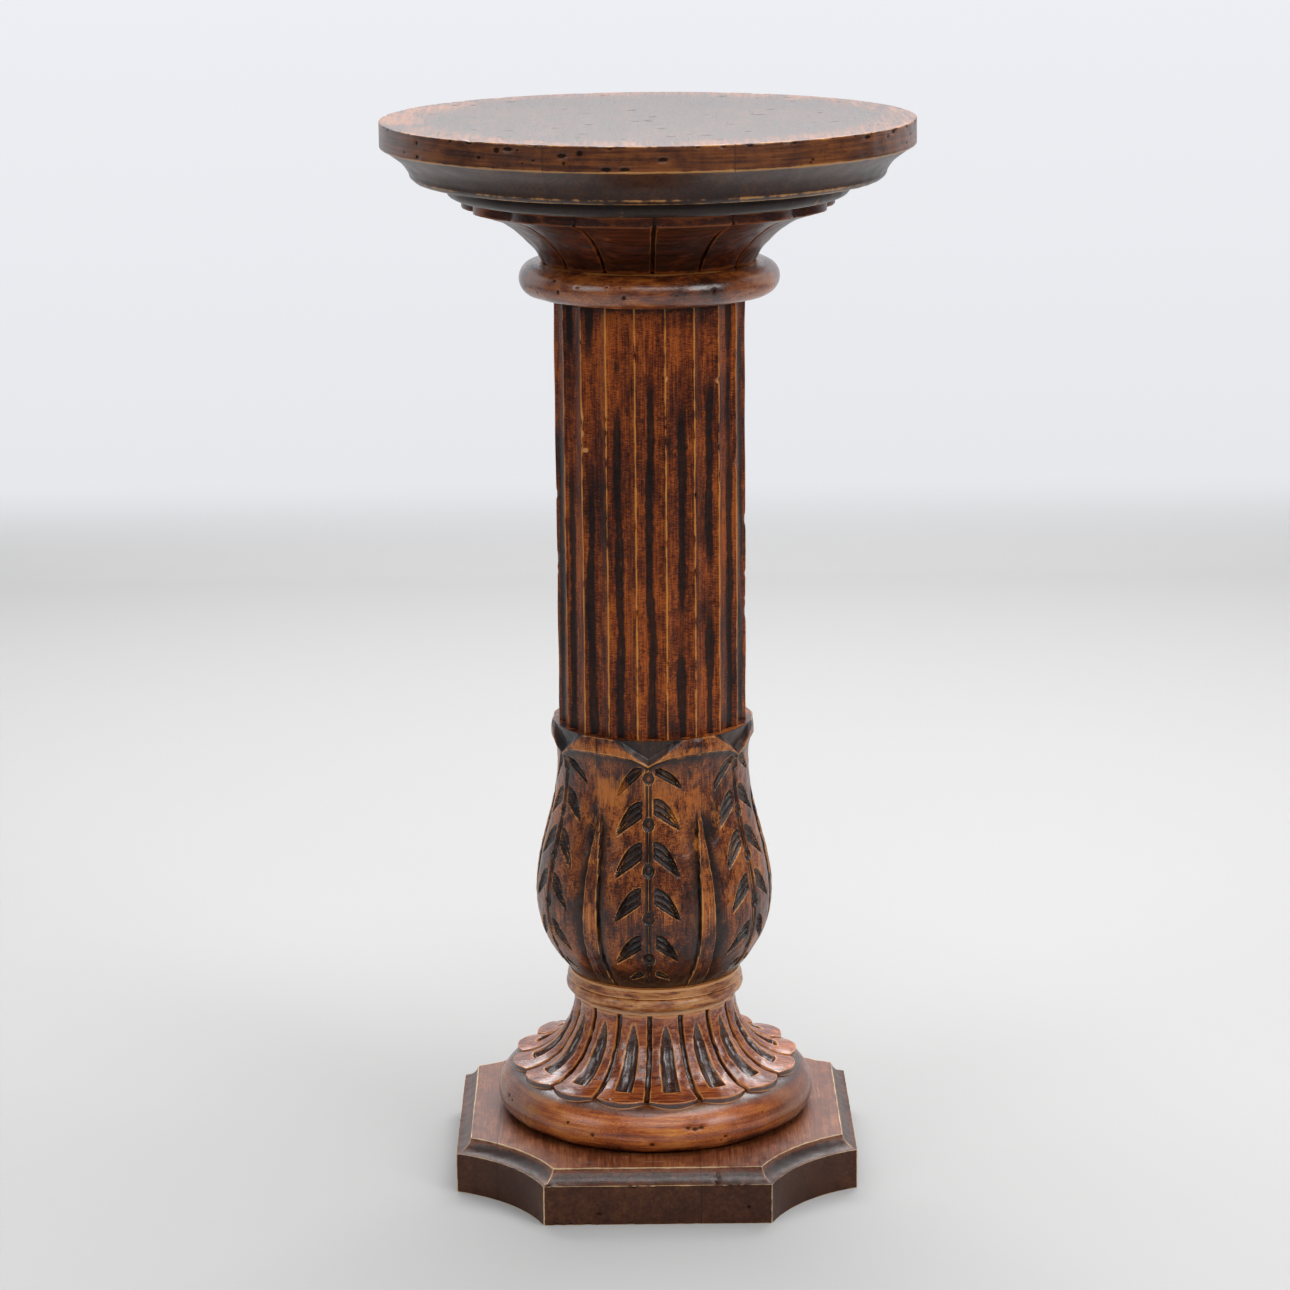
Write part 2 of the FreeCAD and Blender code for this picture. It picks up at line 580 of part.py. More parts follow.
def make_top():
    """Round top with its moulded edge, before it is cut into boards."""
    edge = TOTAL_HEIGHT - TOP_EDGE_HEIGHT
    foot = Z_TOP + TOP_MOULDING_FOOT
    step = TOP_FOOT_RADIUS + TOP_STEP_WIDTH
    inner = TOP_RADIUS - TOP_MOULDING_WIDTH
    outline = Outline(0, Z_TOP).line(TOP_FOOT_RADIUS, Z_TOP).round_out(step, Z_TOP + TOP_STEP_HEIGHT)
    outline.line(step, foot).line(inner, foot)
    outline.curve(*[(blend(inner, TOP_RADIUS, out), blend(foot, edge, up)) for out, up in TOP_MOULDING])
    outline.line(TOP_RADIUS, edge + TOP_EDGE_EASING)
    outline.line(TOP_RADIUS, TOTAL_HEIGHT - TOP_EDGE_EASING)
    outline.line(TOP_RADIUS - TOP_EDGE_EASING, TOTAL_HEIGHT).line(0, TOTAL_HEIGHT)
    return outline.turned().cut(dowel_bore(*UPPER_DOWEL))


def boards_by_name(prefix, boards):
    """Name the three boards of a blank from left to right."""
    return {prefix + "_" + side: board for side, board in zip(("left", "middle", "right"), boards)}


def make_pieces():
    """Every piece of the stand by its name."""
    pieces = {}
    plinth = make_plinth().cut(screw_holes())
    seams = (PLINTH_LEFT_SEAM, PLINTH_LEFT_SEAM + PLINTH_BOARD_WIDTH)
    pieces.update(boards_by_name("plinth_board", split_into_boards(
        plinth, seams, 0.0, PLINTH_SIDE, 0.0, PLINTH_HEIGHT)))
    pieces["plinth_screws"] = Part.makeCompound([screw_body(place, 0.0) for place in screw_places()])
    pieces["base_ring"] = make_base_ring()
    pieces["petal_skirt"] = make_skirt()
    pieces["collar_ring"] = make_collar()
    seams = (-BULB_BOARD_WIDTH / 2, BULB_BOARD_WIDTH / 2)
    pieces.update(boards_by_name("bulb_board", split_into_boards(
        make_bulb(), seams, BULB_TURN, 2 * BULB_BELLY_RADIUS, Z_BULB, Z_SHAFT)))
    pieces["shaft"] = make_shaft()
    pieces["neck_ring"] = make_neck_ring()
    pieces["capital"] = make_capital()
    seams = (TOP_SEAM_OFFSET, TOP_SEAM_OFFSET + TOP_BOARD_WIDTH)
    pieces.update(boards_by_name("top_board", split_into_boards(
        make_top(), seams, -TOP_SEAM_TURN, 2 * TOP_RADIUS, Z_TOP, TOTAL_HEIGHT)))
    pieces["lower_dowel"] = dowel(*LOWER_DOWEL)
    pieces["middle_dowel"] = dowel(*MIDDLE_DOWEL)
    pieces["upper_dowel"] = dowel(*UPPER_DOWEL)
    return pieces


os.makedirs("parts", exist_ok=True)
for name, shape in make_pieces().items():
    shape.exportStep(os.path.join("parts", name + ".step"))
    print(name, len(shape.Solids), "solids", shape.isValid(), round(shape.Volume / 1000.0, 1), "cm3")
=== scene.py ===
"""A pedestal column stand in turned and carved wood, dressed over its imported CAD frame.

Lengths are millimetres while a piece is made, and its finished mesh is scaled to metres. An azimuth is in
degrees from the front, -Y, towards the right, +X.
"""
import logging
import math
from dataclasses import dataclass, replace
from enum import Enum
from typing import Sequence

import bmesh
import bpy
import numpy as np
from mathutils import Matrix, Vector


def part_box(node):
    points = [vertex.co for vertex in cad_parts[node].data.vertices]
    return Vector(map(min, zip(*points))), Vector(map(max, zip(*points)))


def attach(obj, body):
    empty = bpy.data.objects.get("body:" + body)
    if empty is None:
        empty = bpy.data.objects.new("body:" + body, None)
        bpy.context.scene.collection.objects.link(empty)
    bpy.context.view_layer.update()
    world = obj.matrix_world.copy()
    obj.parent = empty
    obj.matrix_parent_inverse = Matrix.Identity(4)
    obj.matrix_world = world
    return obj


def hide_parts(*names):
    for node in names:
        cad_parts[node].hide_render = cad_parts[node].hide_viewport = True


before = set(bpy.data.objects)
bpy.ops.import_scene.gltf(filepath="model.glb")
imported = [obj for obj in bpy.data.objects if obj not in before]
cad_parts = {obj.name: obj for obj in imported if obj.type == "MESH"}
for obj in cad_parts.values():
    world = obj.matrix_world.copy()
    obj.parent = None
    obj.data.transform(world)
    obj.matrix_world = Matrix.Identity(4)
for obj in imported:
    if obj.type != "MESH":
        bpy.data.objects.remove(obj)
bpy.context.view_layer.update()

LOG = logging.getLogger("column_stand")
MM = 0.001
Array = np.ndarray
Point = tuple[float, float]
Patch = tuple[float, float, float, float, float]
Mark = tuple[Sequence[float], Sequence[float], float]
Socket = bpy.types.NodeSocket
BODY = "root"
NOWHERE = 1e4  # millimetres, past every piece
CREASE = 38.0  # degrees between faces past which an edge is crisp


# --- Sums used by every piece

def blend(first: float | Array, last: float | Array, share: float | Array) -> float | Array:
    """The value at a share of the way from first to last."""
    return first + (last - first) * share


def rise(low: float | Array, high: float | Array, value: Array) -> Array:
    """A smooth step from 0 at low to 1 at high."""
    share = np.clip((value - low) / (high - low), 0.0, 1.0)
    return share * share * (3.0 - 2.0 * share)


def ripple(points: Array, size: float, seed: int) -> Array:
    """Smooth seeded noise from about -1 to 1.

    Args:
        points: places, one row each, in millimetres.
        size: the length of its waves in millimetres.
        seed: which noise of that size.

    Returns:
        One value for each point.
    """
    draw = np.random.default_rng(seed)
    total = np.zeros(len(points))
    for _ in range(8):
        way = draw.normal(size=3)
        way *= 2 * math.pi / size / draw.uniform(0.7, 1.7) / np.linalg.norm(way)
        total += np.sin(points @ way + draw.uniform(0, 2 * math.pi))
    return total / 3.2


def arc_through(first: Point, middle: Point, last: Point, steps: int) -> list[Point]:
    """A circle arc through three points.

    Args:
        first: where it starts.
        middle: a point that it passes.
        last: where it ends.
        steps: how many points it has.

    Returns:
        Evenly spaced points along it, without the first.
    """
    ax, ay, bx, by, cx, cy = *first, *middle, *last
    double = 2 * (ax * (by - cy) + bx * (cy - ay) + cx * (ay - by))
    sa, sb, sc = ax * ax + ay * ay, bx * bx + by * by, cx * cx + cy * cy
    centre_x = (sa * (by - cy) + sb * (cy - ay) + sc * (ay - by)) / double
    centre_y = (sa * (cx - bx) + sb * (ax - cx) + sc * (bx - ax)) / double
    radius = math.hypot(ax - centre_x, ay - centre_y)
    start = math.atan2(ay - centre_y, ax - centre_x)
    half = (math.atan2(by - centre_y, bx - centre_x) - start + math.pi) % (2 * math.pi) - math.pi
    whole = (math.atan2(cy - centre_y, cx - centre_x) - start) % (2 * math.pi)
    sweep = whole if half > 0 else whole - 2 * math.pi
    return [(centre_x + radius * math.cos(start + sweep * step / steps),
             centre_y + radius * math.sin(start + sweep * step / steps)) for step in range(1, steps + 1)]


def smooth_curve(knots: Sequence[Point], steps: int) -> list[Point]:
    """A rounded curve through knots.

    Args:
        knots: the points that it passes.
        steps: how many points it has.

    Returns:
        Evenly spaced points along it, without the first knot.
    """
    knot = np.array(knots, float)
    before = np.vstack([2 * knot[0] - knot[1], knot, 2 * knot[-1] - knot[-2]])
    fine = []
    for index in range(1, len(before) - 2):
        a, b, c, d = before[index - 1:index + 3]
        for share in np.linspace(0, 1, 24, endpoint=False):
            fine.append(0.5 * (2 * b + (c - a) * share + (2 * a - 5 * b + 4 * c - d) * share ** 2
                               + (3 * b - a - 3 * c + d) * share ** 3))
    fine = np.array(fine + [knot[-1]])
    length = np.concatenate([[0.0], np.cumsum(np.linalg.norm(np.diff(fine, axis=0), axis=1))])
    wanted = np.linspace(0, length[-1], steps + 1)[1:]
    return list(zip(np.interp(wanted, length, fine[:, 0]), np.interp(wanted, length, fine[:, 1])))


class Outline:
    """The outline of a turned piece from its axis round to its axis, as points of radius and height."""

    def __init__(self, height: float) -> None:
        """Starts on the axis at a height."""
        self.points: list[Point] = [(0.0, height)]

    @property
    def row(self) -> int:
        """The number of the last point."""
        return len(self.points) - 1

    def line(self, radius: float, height: float, spacing: float = 30.0) -> "Outline":
        """A straight run to a point.

        Args:
            radius: the point's radius.
            height: the point's height.
            spacing: about how far apart the run's points lie.

        Returns:
            This outline.
        """
        start = self.points[-1]
        steps = max(1, round(math.dist(start, (radius, height)) / spacing))
        self.points += [(blend(start[0], radius, step / steps), blend(start[1], height, step / steps))
                        for step in range(1, steps + 1)]
        return self

    def arc(self, middle: Point, end: Point, steps: int) -> "Outline":
        """A circle arc through middle to end."""
        self.points += arc_through(self.points[-1], middle, end, steps)
        return self

    def round_out(self, radius: float, height: float, steps: int) -> "Outline":
        """A quarter round that bulges outwards and upwards to a point."""
        start, slant = self.points[-1], math.sqrt(0.5)
        return self.arc((blend(start[0], radius, slant), blend(start[1], height, 1 - slant)), (radius, height), steps)

    def round_in(self, radius: float, height: float, steps: int) -> "Outline":
        """A quarter round that comes back inwards over its top to a point."""
        start, slant = self.points[-1], math.sqrt(0.5)
        return self.arc((blend(start[0], radius, 1 - slant), blend(start[1], height, slant)), (radius, height), steps)

    def curve(self, knots: Sequence[Point], steps: int) -> "Outline":
        """A rounded curve through the knots."""
        self.points += smooth_curve([self.points[-1], *knots], steps)
        return self

    def turned(self, steps: int) -> bmesh.types.BMesh:
        """Spins the outline round the axis.

        Args:
            steps: how many columns the full turn has.

        Returns:
            A closed mesh whose vertices carry their outline point's number in the layer row.
        """
        form = bmesh.new()
        row = form.verts.layers.float.new("row")
        verts = []
        for index, (radius, height) in enumerate(self.points):
            verts.append(form.verts.new((0.0, -radius, height)))
            verts[-1][row] = index
        edges = [form.edges.new(pair) for pair in zip(verts, verts[1:])]
        sectors = next(count for count in (24, 20, 16, 12, 1) if steps % count == 0)
        bmesh.ops.spin(form, geom=verts + edges, cent=(0, 0, 0), axis=(0, 0, 1), angle=2 * math.pi / sectors,
                       steps=steps // sectors, use_merge=False)
        sector = form.verts[:] + form.edges[:] + form.faces[:]
        for index in range(1, sectors):
            copied = bmesh.ops.duplicate(form, geom=sector)["geom"]
            bmesh.ops.rotate(form, verts=[item for item in copied if isinstance(item, bmesh.types.BMVert)],
                             cent=(0, 0, 0), matrix=Matrix.Rotation(2 * math.pi * index / sectors, 3, "Z"))
        bmesh.ops.remove_doubles(form, verts=form.verts, dist=2e-3)
        bmesh.ops.recalc_face_normals(form, faces=form.faces)
        return form


class Workpiece:
    """A mesh on the bench: its vertices as arrays that a carver moves, in millimetres."""

    def __init__(self, name: str, form: bmesh.types.BMesh, turn: float = 0.0) -> None:
        """Takes over a bmesh.

        Args:
            name: the mesh's name.
            form: the bmesh, which is freed.
            turn: degrees that it is turned by, so that its columns meet the carving.
        """
        self.mesh = bpy.data.meshes.new(name)
        form.to_mesh(self.mesh)
        form.free()
        self.mesh.transform(Matrix.Rotation(math.radians(turn), 4, "Z"))
        self.points = self._read(self.mesh.vertices, "co", 3)
        marks = self.mesh.attributes.get("row")
        self.row = self._read(marks.data, "value", 1) if marks else None
        if marks:
            self.mesh.attributes.remove(marks)
        self.azimuth = np.degrees(np.arctan2(self.points[:, 0], -self.points[:, 1]))
        self.radius = np.hypot(self.points[:, 0], self.points[:, 1])
        self.height = self.points[:, 2].copy()

    @staticmethod
    def _read(items: object, field: str, width: int) -> Array:
        """Reads one field of a collection.

        Args:
            items: the collection.
            field: the field's name.
            width: how many numbers it has.

        Returns:
            An array with a row for each item.
        """
        flat = np.zeros(len(items) * width, np.float32)
        items.foreach_get(field, flat)
        return flat.reshape(-1, width).astype(float) if width > 1 else flat.astype(float)

    def from_centre(self, count: int, turn: float) -> Array:
        """Degrees from the nearest of count evenly spaced places, the first of them at turn."""
        step = 360.0 / count
        return (self.azimuth - turn + step / 2) % step - step / 2

    def gather_columns(self, count: int, turn: float, amount: float) -> None:
        """Draws columns towards the places half way between centres, where the cuts are crispest.

        Args:
            count: how many centres there are round the piece.
            turn: where the first of them is, in degrees.
            amount: how strongly they are drawn, from 0 to 1.
        """
        half = 180.0 / count
        beside = self.from_centre(count, turn)
        self.azimuth += half * amount * np.sin(np.pi * beside / half) / np.pi
        self.settle()

    def settle(self) -> None:
        """Puts the vertices where azimuth, radius and height say."""
        angle = np.radians(self.azimuth)
        self.points = np.column_stack([self.radius * np.sin(angle), -self.radius * np.cos(angle), self.height])
        self.mesh.vertices.foreach_set("co", self.points.astype(np.float32).ravel())
        self.mesh.update()

    def push(self, amount: Array) -> None:
        """Moves each vertex along its normal.

        Args:
            amount: how far, in millimetres.
        """
        self.points = self.points + self.normals() * amount[:, None]
        self.mesh.vertices.foreach_set("co", self.points.astype(np.float32).ravel())
        self.mesh.update()

    def normals(self) -> Array:
        """The vertex normals."""
        return self._read(self.mesh.vertex_normals, "vector", 3)

    def waver(self, amount: float, size: float, seed: int, shown: Array) -> None:
        """Makes the surface as uneven as hand work, and nowhere higher than it was turned by much.

        Args:
            amount: how uneven, in millimetres.
            size: the length of the waves.
            seed: which waves.
            shown: where, from 0 to 1.
        """
        self.push(shown * (amount * ripple(self.points, size, seed) - amount))

    def between(self, first: int, last: int) -> Array:
        """Which vertices belong to the outline's points from first to last."""
        return (self.row >= first) & (self.row <= last)

    def patches(self, places: Sequence[Patch]) -> Array:
        """Soft patches on the surface.

        Args:
            places: for each its azimuth and height, its half sizes in degrees and millimetres, and its strength.

        Returns:
            How much of a patch each vertex has.
        """
        found = np.zeros(len(self.points))
        for azimuth, height, wide, tall, amount in places:
            beside = (self.azimuth - azimuth + 180) % 360 - 180
            found = np.maximum(found, amount * np.exp(-(beside / wide) ** 2 - ((self.height - height) / tall) ** 2))
        return found

    def knock(self, marks: Sequence[Mark]) -> Array:
        """Presses dents into the surface.

        Args:
            marks: for each dent its middle, its half sizes along X, Y and Z, and its depth.

        Returns:
            How deep in a dent each vertex is, from 0 to 1.
        """
        depth, inside = np.zeros(len(self.points)), np.zeros(len(self.points))
        for middle, size, deep in marks:
            near = np.exp(-(((self.points - np.array(middle)) / np.array(size)) ** 2).sum(1))
            depth = np.maximum(depth, near * deep)
            inside = np.maximum(inside, near)
        self.push(-depth)
        return inside

    def _relief(self, rounds: Sequence[int]) -> list[Array]:
        """How far each vertex stands out of its smoothed surroundings.

        Args:
            rounds: rising counts of smoothing rounds.

        Returns:
            For each count the heights in millimetres.
        """
        ends = np.zeros(len(self.mesh.edges) * 2, np.int32)
        self.mesh.edges.foreach_get("vertices", ends)
        ends = ends.reshape(-1, 2)
        near, far = np.concatenate([ends[:, 0], ends[:, 1]]), np.concatenate([ends[:, 1], ends[:, 0]])
        count = np.maximum(np.bincount(near, minlength=len(self.points)), 1)
        normal, soft, found, done = self.normals(), self.points.copy(), [], 0
        for wanted in rounds:
            while done < wanted:
                soft = 0.4 * soft + 0.6 * np.column_stack(
                    [np.bincount(near, soft[far, axis], len(soft)) / count for axis in range(3)])
                done += 1
            found.append(((self.points - soft) * normal).sum(1))
        return found

    def note(self, name: str, values: Array) -> None:
        """Keeps a value for each vertex that the finish reads."""
        layer = self.mesh.attributes.get(name) or self.mesh.attributes.new(name, "FLOAT", "POINT")
        layer.data.foreach_set("value", np.clip(values, 0, 1).astype(np.float32))

    def note_wear(self, fine: float = 0.1, broad: float = 0.5, rounds: tuple[int, int] = (4, 36),
                  glaze_and_shade: Array | None = None, spared: Array | None = None) -> None:
        """Notes where hands wear the finish, where glaze gathers and where shade is painted.

        Args:
            fine: how far a crest stands out, in millimetres, where it is fully rubbed.
            broad: how deep a hollow lies where it is full of glaze.
            rounds: smoothing rounds for the crests and for the hollows.
            glaze_and_shade: where glaze lies besides, and where shade is painted, from 0 to 1.
            spared: where crests are hardly rubbed, from 0 to 1.
        """
        near, wide = self._relief(rounds)
        self.note("crest", near / fine * (1 if spared is None else 1 - spared))
        self.note("hollow", np.maximum(-wide / broad, 0 if glaze_and_shade is None else glaze_and_shade))
        self.note("mark", np.zeros(len(near)))


@dataclass(frozen=True)
class Seams:
    """Where a glued-up blank is joined: boards of one width that run front to back, or a little turned."""
    offsets: tuple[float, float]
    turn: float = 0.0

    def across(self) -> Vector:
        """The direction across the boards."""
        angle = math.radians(self.turn)
        return Vector((math.cos(angle), math.sin(angle), 0.0))

    def cut(self, mesh: bpy.types.Mesh) -> list[bpy.types.Mesh]:
        """Saws a mesh into its boards.

        Args:
            mesh: the whole blank, in millimetres.

        Returns:
            The left, middle and right board, each closed.
        """
        edges = [-NOWHERE, *self.offsets, NOWHERE]
        boards = []
        for left, right in zip(edges, edges[1:]):
            form = bmesh.new()
            form.from_mesh(mesh)
            for offset, keep_inner in ((left, False), (right, True)):
                if abs(offset) == NOWHERE:
                    continue
                cut = bmesh.ops.bisect_plane(
                    form, geom=form.verts[:] + form.edges[:] + form.faces[:], dist=1e-5,
                    plane_co=self.across() * offset, plane_no=self.across(),
                    clear_outer=keep_inner, clear_inner=not keep_inner)["geom_cut"]
                rim = [item for item in cut if isinstance(item, bmesh.types.BMEdge)]
                bmesh.ops.holes_fill(form, edges=rim, sides=0)
            board = bpy.data.meshes.new(mesh.name)
            form.to_mesh(board)
            form.free()
            boards.append(board)
        return boards


# --- Finishes

class Grain(Enum):
    """The way the wood's fibres run."""
    UPRIGHT = (0, 0, 1)
    ACROSS = (1, 0, 0)
    DEEP = (0, 1, 0)


def linear(colour: str) -> tuple[float, float, float, float]:
    """A shader colour from an sRGB hex colour."""
    parts = [int(colour[index:index + 2], 16) / 255 for index in (0, 2, 4)]
    return (*[part / 12.92 if part <= 0.04045 else ((part + 0.055) / 1.055) ** 2.4 for part in parts], 1.0)


def add_node(tree: bpy.types.NodeTree, kind: str, inputs: dict | None = None, **settings: object) -> bpy.types.Node:
    """Adds a shader node.

    Args:
        tree: the material's nodes.
        kind: the node's type without its ShaderNode prefix.
        inputs: sockets by name or number, each with a value, or with a socket to link from.
        settings: the node's own properties.

    Returns:
        The new node.
    """
    node = tree.nodes.new("ShaderNode" + kind)
    for name, value in settings.items():
        setattr(node, name, value)
    for name, value in (inputs or {}).items():
        if isinstance(value, bpy.types.NodeSocket):
            tree.links.new(value, node.inputs[name])
        else:
            node.inputs[name].default_value = value
    return node


class Along(Enum):
    """What a change of tone is measured along: out from the axis, up, or front to back."""
    RADIUS = "radius"
    HEIGHT = "height"
    DEPTH = "depth"


@dataclass(frozen=True)
class Zone:
    """A part of a piece with another tone and sheen, which begins at start and is whole at full; some zones paint light
    and shade.
    """
    colour: str
    start: float
    full: float
    along: Along = Along.RADIUS
    strength: float = 0.7
    sheen: float = 1.0

    @property
    def waves(self) -> float:
        """How far the edge wanders, in metres: little where the change is sharp."""
        return 0.002 if abs(self.full - self.start) < 6 else 0.02


class Coat:
    """The layers of one finish, laid one over another in a material's nodes."""

    def __init__(self, name: str, grain: Grain, seed: float = 0.0) -> None:
        """Starts a material.

        Args:
            name: its name.
            grain: the way its patterns are drawn out.
            seed: where its patterns start.
        """
        self.material = bpy.data.materials.new(name)
        self.material.use_nodes = True
        self.tree = self.material.node_tree
        self.tree.nodes.clear()
        self.grain, self.seed, self.colour = grain, seed, None
        self.place = add_node(self.tree, "TexCoord").outputs["Object"]

    def pattern(self, across: float, along: float, detail: float = 3.0, distortion: float = 0.0) -> Socket:
        """A noise drawn out along the grain.

        Args:
            across: the size of its cells across the grain, in millimetres.
            along: their size along the grain.
            detail: how many finer noises lie in it.
            distortion: how much it is swirled.

        Returns:
            The noise, about 0 to 1.
        """
        scale = [1000.0 / (along if part else across) for part in self.grain.value]
        moved = add_node(self.tree, "Mapping", {"Vector": self.place, "Scale": scale,
                                                "Location": (self.seed, self.seed * 1.7, self.seed * 0.6)})
        return add_node(self.tree, "TexNoise", {"Vector": moved.outputs[0], "Scale": 1.0, "Detail": detail,
                                                "Roughness": 0.6, "Distortion": distortion}).outputs["Fac"]

    def weigh(self, base: float | Socket, *parts: tuple[float, Socket]) -> Socket:
        """Adds patterns to a value.

        Args:
            base: the value.
            parts: weights, each with a pattern that is measured from its middle, 0.5.

        Returns:
            The sum.
        """
        for weight, part in parts:
            centred = add_node(self.tree, "Math", {0: part, 1: 0.5}, operation="SUBTRACT").outputs[0]
            base = add_node(self.tree, "Math", {0: centred, 1: weight, 2: base}, operation="MULTIPLY_ADD").outputs[0]
        return base

    def lay(self, colour: str, value: Socket, low: float, high: float, top: float = 1.0,
            within: Socket | None = None) -> Socket:
        """Lays a colour over those before, where a value passes from low to high.

        Args:
            colour: the colour, in sRGB hex.
            value: what decides where.
            low: the value at which the colour begins.
            high: the value at which it is whole.
            top: how strong it is there.
            within: a share that it is held to besides.

        Returns:
            The share that it takes.
        """
        share = add_node(self.tree, "MapRange", {0: value, 1: low, 2: high, 3: 0.0, 4: top},
                         interpolation_type="SMOOTHSTEP").outputs[0]
        if within is not None:
            share = add_node(self.tree, "Math", {0: share, 1: within}, operation="MULTIPLY").outputs[0]
        self.colour = add_node(self.tree, "Mix", {0: share, 6: self.colour, 7: linear(colour)},
                               data_type="RGBA").outputs[2]
        return share

    def dress(self, surface: Socket, strength: float, depth: float, **settings: float | Socket) -> bpy.types.Material:
        """Closes the material.

        Args:
            surface: the height of the fine relief.
            strength: how much of the relief shows.
            depth: how deep it is, in metres.
            settings: the shader's other sockets, with underscores for spaces.

        Returns:
            The material.
        """
        bump = add_node(self.tree, "Bump", {"Strength": strength, "Distance": depth, "Height": surface})
        named = {name.replace("_", " "): value for name, value in settings.items()}
        shader = add_node(self.tree, "BsdfPrincipled", {"Base Color": self.colour, "Normal": bump.outputs[0], **named})
        add_node(self.tree, "OutputMaterial", {"Surface": shader.outputs[0]})
        return self.material


@dataclass(frozen=True)
class WornWood:
    """Stained and glazed wood under an old satin lacquer: rubbed pale on its crests, dark in its hollows from glaze and
    painted shade.
    """
    name: str
    grain: Grain
    dark: str
    middle: str
    light: str
    glaze: str
    worn: str
    rubbed: str = "c0702a"
    streak: float = 2.4
    streak_length: float = 70.0
    blotch: float = 38.0
    wear: float = 0.8
    wear_starts: float = 0.35
    glaze_amount: float = 0.9
    speckle: float = 0.35
    glaze_from: float = 0.12
    roughness: float = 0.42
    specular: float = 0.5
    bump: float = 0.25
    figure: tuple[float, float, float, float] = (0.46, 0.16, 0.24, 0.14)
    chatter: float = 0.0
    round_from: float = NOWHERE
    spread: float = 0.085
    seed: float = 0.0
    zones: tuple[Zone, ...] = ()
    seams: Seams | None = None

    def board(self, index: int) -> "WornWood":
        """The same finish on another board of a glued-up blank, with its own figure."""
        return replace(self, name=f"{self.name}_{('left', 'middle', 'right')[index]}", seed=self.seed + 3.7 * index)

    def _streaks(self, coat: Coat, level: Socket, from_axis: Socket) -> Socket:
        """The stain's streaks.

        Args:
            coat: the coat that they are drawn in.
            level: the place without its height.
            from_axis: the distance from the axis.

        Returns:
            Streaks along the grain, and past round_from streaks brushed round the piece.
        """
        tree, streaks = coat.tree, coat.pattern(self.streak, self.streak_length, 4.0, 0.4)
        if self.round_from == NOWHERE:
            return streaks
        # The place on a circle and the height, so that no seam shows
        outward = add_node(tree, "VectorMath", {0: level}, operation="NORMALIZE").outputs[0]
        circle = add_node(tree, "VectorMath", {0: outward, 1: (150.0 / self.streak_length,) * 3},
                          operation="MULTIPLY").outputs[0]
        parts = add_node(tree, "SeparateXYZ", {0: coat.place}).outputs
        height = add_node(tree, "Math", {0: parts[2], 1: 1000.0 / self.streak}, operation="MULTIPLY").outputs[0]
        up = add_node(tree, "CombineXYZ", {2: height}).outputs[0]
        spot = add_node(tree, "VectorMath", {0: circle, 1: up}, operation="ADD").outputs[0]
        brushed = add_node(tree, "TexNoise", {"Vector": spot, "Scale": 1.0, "Detail": 5.0, "Roughness": 0.65,
                                              "Distortion": 0.3}).outputs["Fac"]
        share = add_node(tree, "MapRange", {0: from_axis, 1: self.round_from * MM, 2: (self.round_from + 1.5) * MM},
                         interpolation_type="SMOOTHSTEP").outputs[0]
        return add_node(tree, "Mix", {0: share, 2: streaks, 3: brushed}).outputs[0]

    def material(self) -> bpy.types.Material:
        """Builds the material, from the stain up to the rubbed crests.

        Returns:
            The material.
        """
        coat = Coat(self.name, self.grain, self.seed)
        tree = coat.tree
        parts = add_node(tree, "SeparateXYZ", {0: coat.place}).outputs
        level = add_node(tree, "CombineXYZ", {0: parts[0], 1: parts[1]}).outputs[0]
        from_axis = add_node(tree, "VectorMath", {0: level}, operation="LENGTH").outputs["Value"]
        noted = {name: add_node(tree, "Attribute", attribute_name=name).outputs["Fac"]
                 for name in ("crest", "hollow", "mark", "rub_and_highlight")}
        streaks = self._streaks(coat, level, from_axis)
        fibres = coat.pattern(0.45, 16.0, 2.0)
        blotches = coat.pattern(self.blotch, self.blotch * 1.8, 2.0, 0.6)
        mottle = coat.pattern(6.0, 11.0)

        # Stain: long streaks, finer fibres and slow patches along one ramp of tones. The weights in figure sum to 1
        tone = coat.weigh(0.5, *zip(self.figure[::-1], (mottle, blotches, fibres, streaks)))
        if self.chatter:
            tone = coat.weigh(tone, (self.chatter, coat.pattern(3.2, 0.55, 1.0)))
        ramp = add_node(tree, "ValToRGB", {0: tone})
        stops = ramp.color_ramp.elements
        stops[0].position, stops[0].color = 0.5 - self.spread, linear(self.dark)
        stops[1].position, stops[1].color = 0.5 + self.spread, linear(self.light)
        stop = stops.new(0.5)
        stop.color = linear(self.middle)
        coat.colour = ramp.outputs[0]

        # Tone and sheen by place on the piece; some zones are painted light and shade
        gloss = self.specular
        for zone in self.zones:
            where = {Along.RADIUS: from_axis, Along.HEIGHT: parts[2], Along.DEPTH: parts[1]}[zone.along]
            wavy = coat.weigh(where, (zone.waves, blotches))
            coat.lay(zone.colour, wavy, zone.start * MM, zone.full * MM, zone.strength)
            if zone.sheen != 1.0:
                kept = add_node(tree, "MapRange", {0: wavy, 1: zone.start * MM, 2: zone.full * MM, 3: 1.0,
                                                   4: zone.sheen}, interpolation_type="SMOOTHSTEP").outputs[0]
                gloss = add_node(tree, "Math", {0: kept, 1: gloss}, operation="MULTIPLY").outputs[0]

        # Dark glaze in the hollows, with the painted shade that some pieces note there, broken up by the mottle; dark
        # in the pores and in the dents
        hollow = coat.weigh(noted["hollow"], (1.2, streaks), (0.6, mottle))
        coat.lay(self.glaze, hollow, self.glaze_from, self.glaze_from + 0.5, self.glaze_amount)
        specks = coat.lay(self.glaze, coat.pattern(0.8, 3.2, 1.0), 0.63, 0.72, self.speckle)
        dents = coat.lay(self.glaze, noted["mark"], 0.2, 0.6, 0.85)
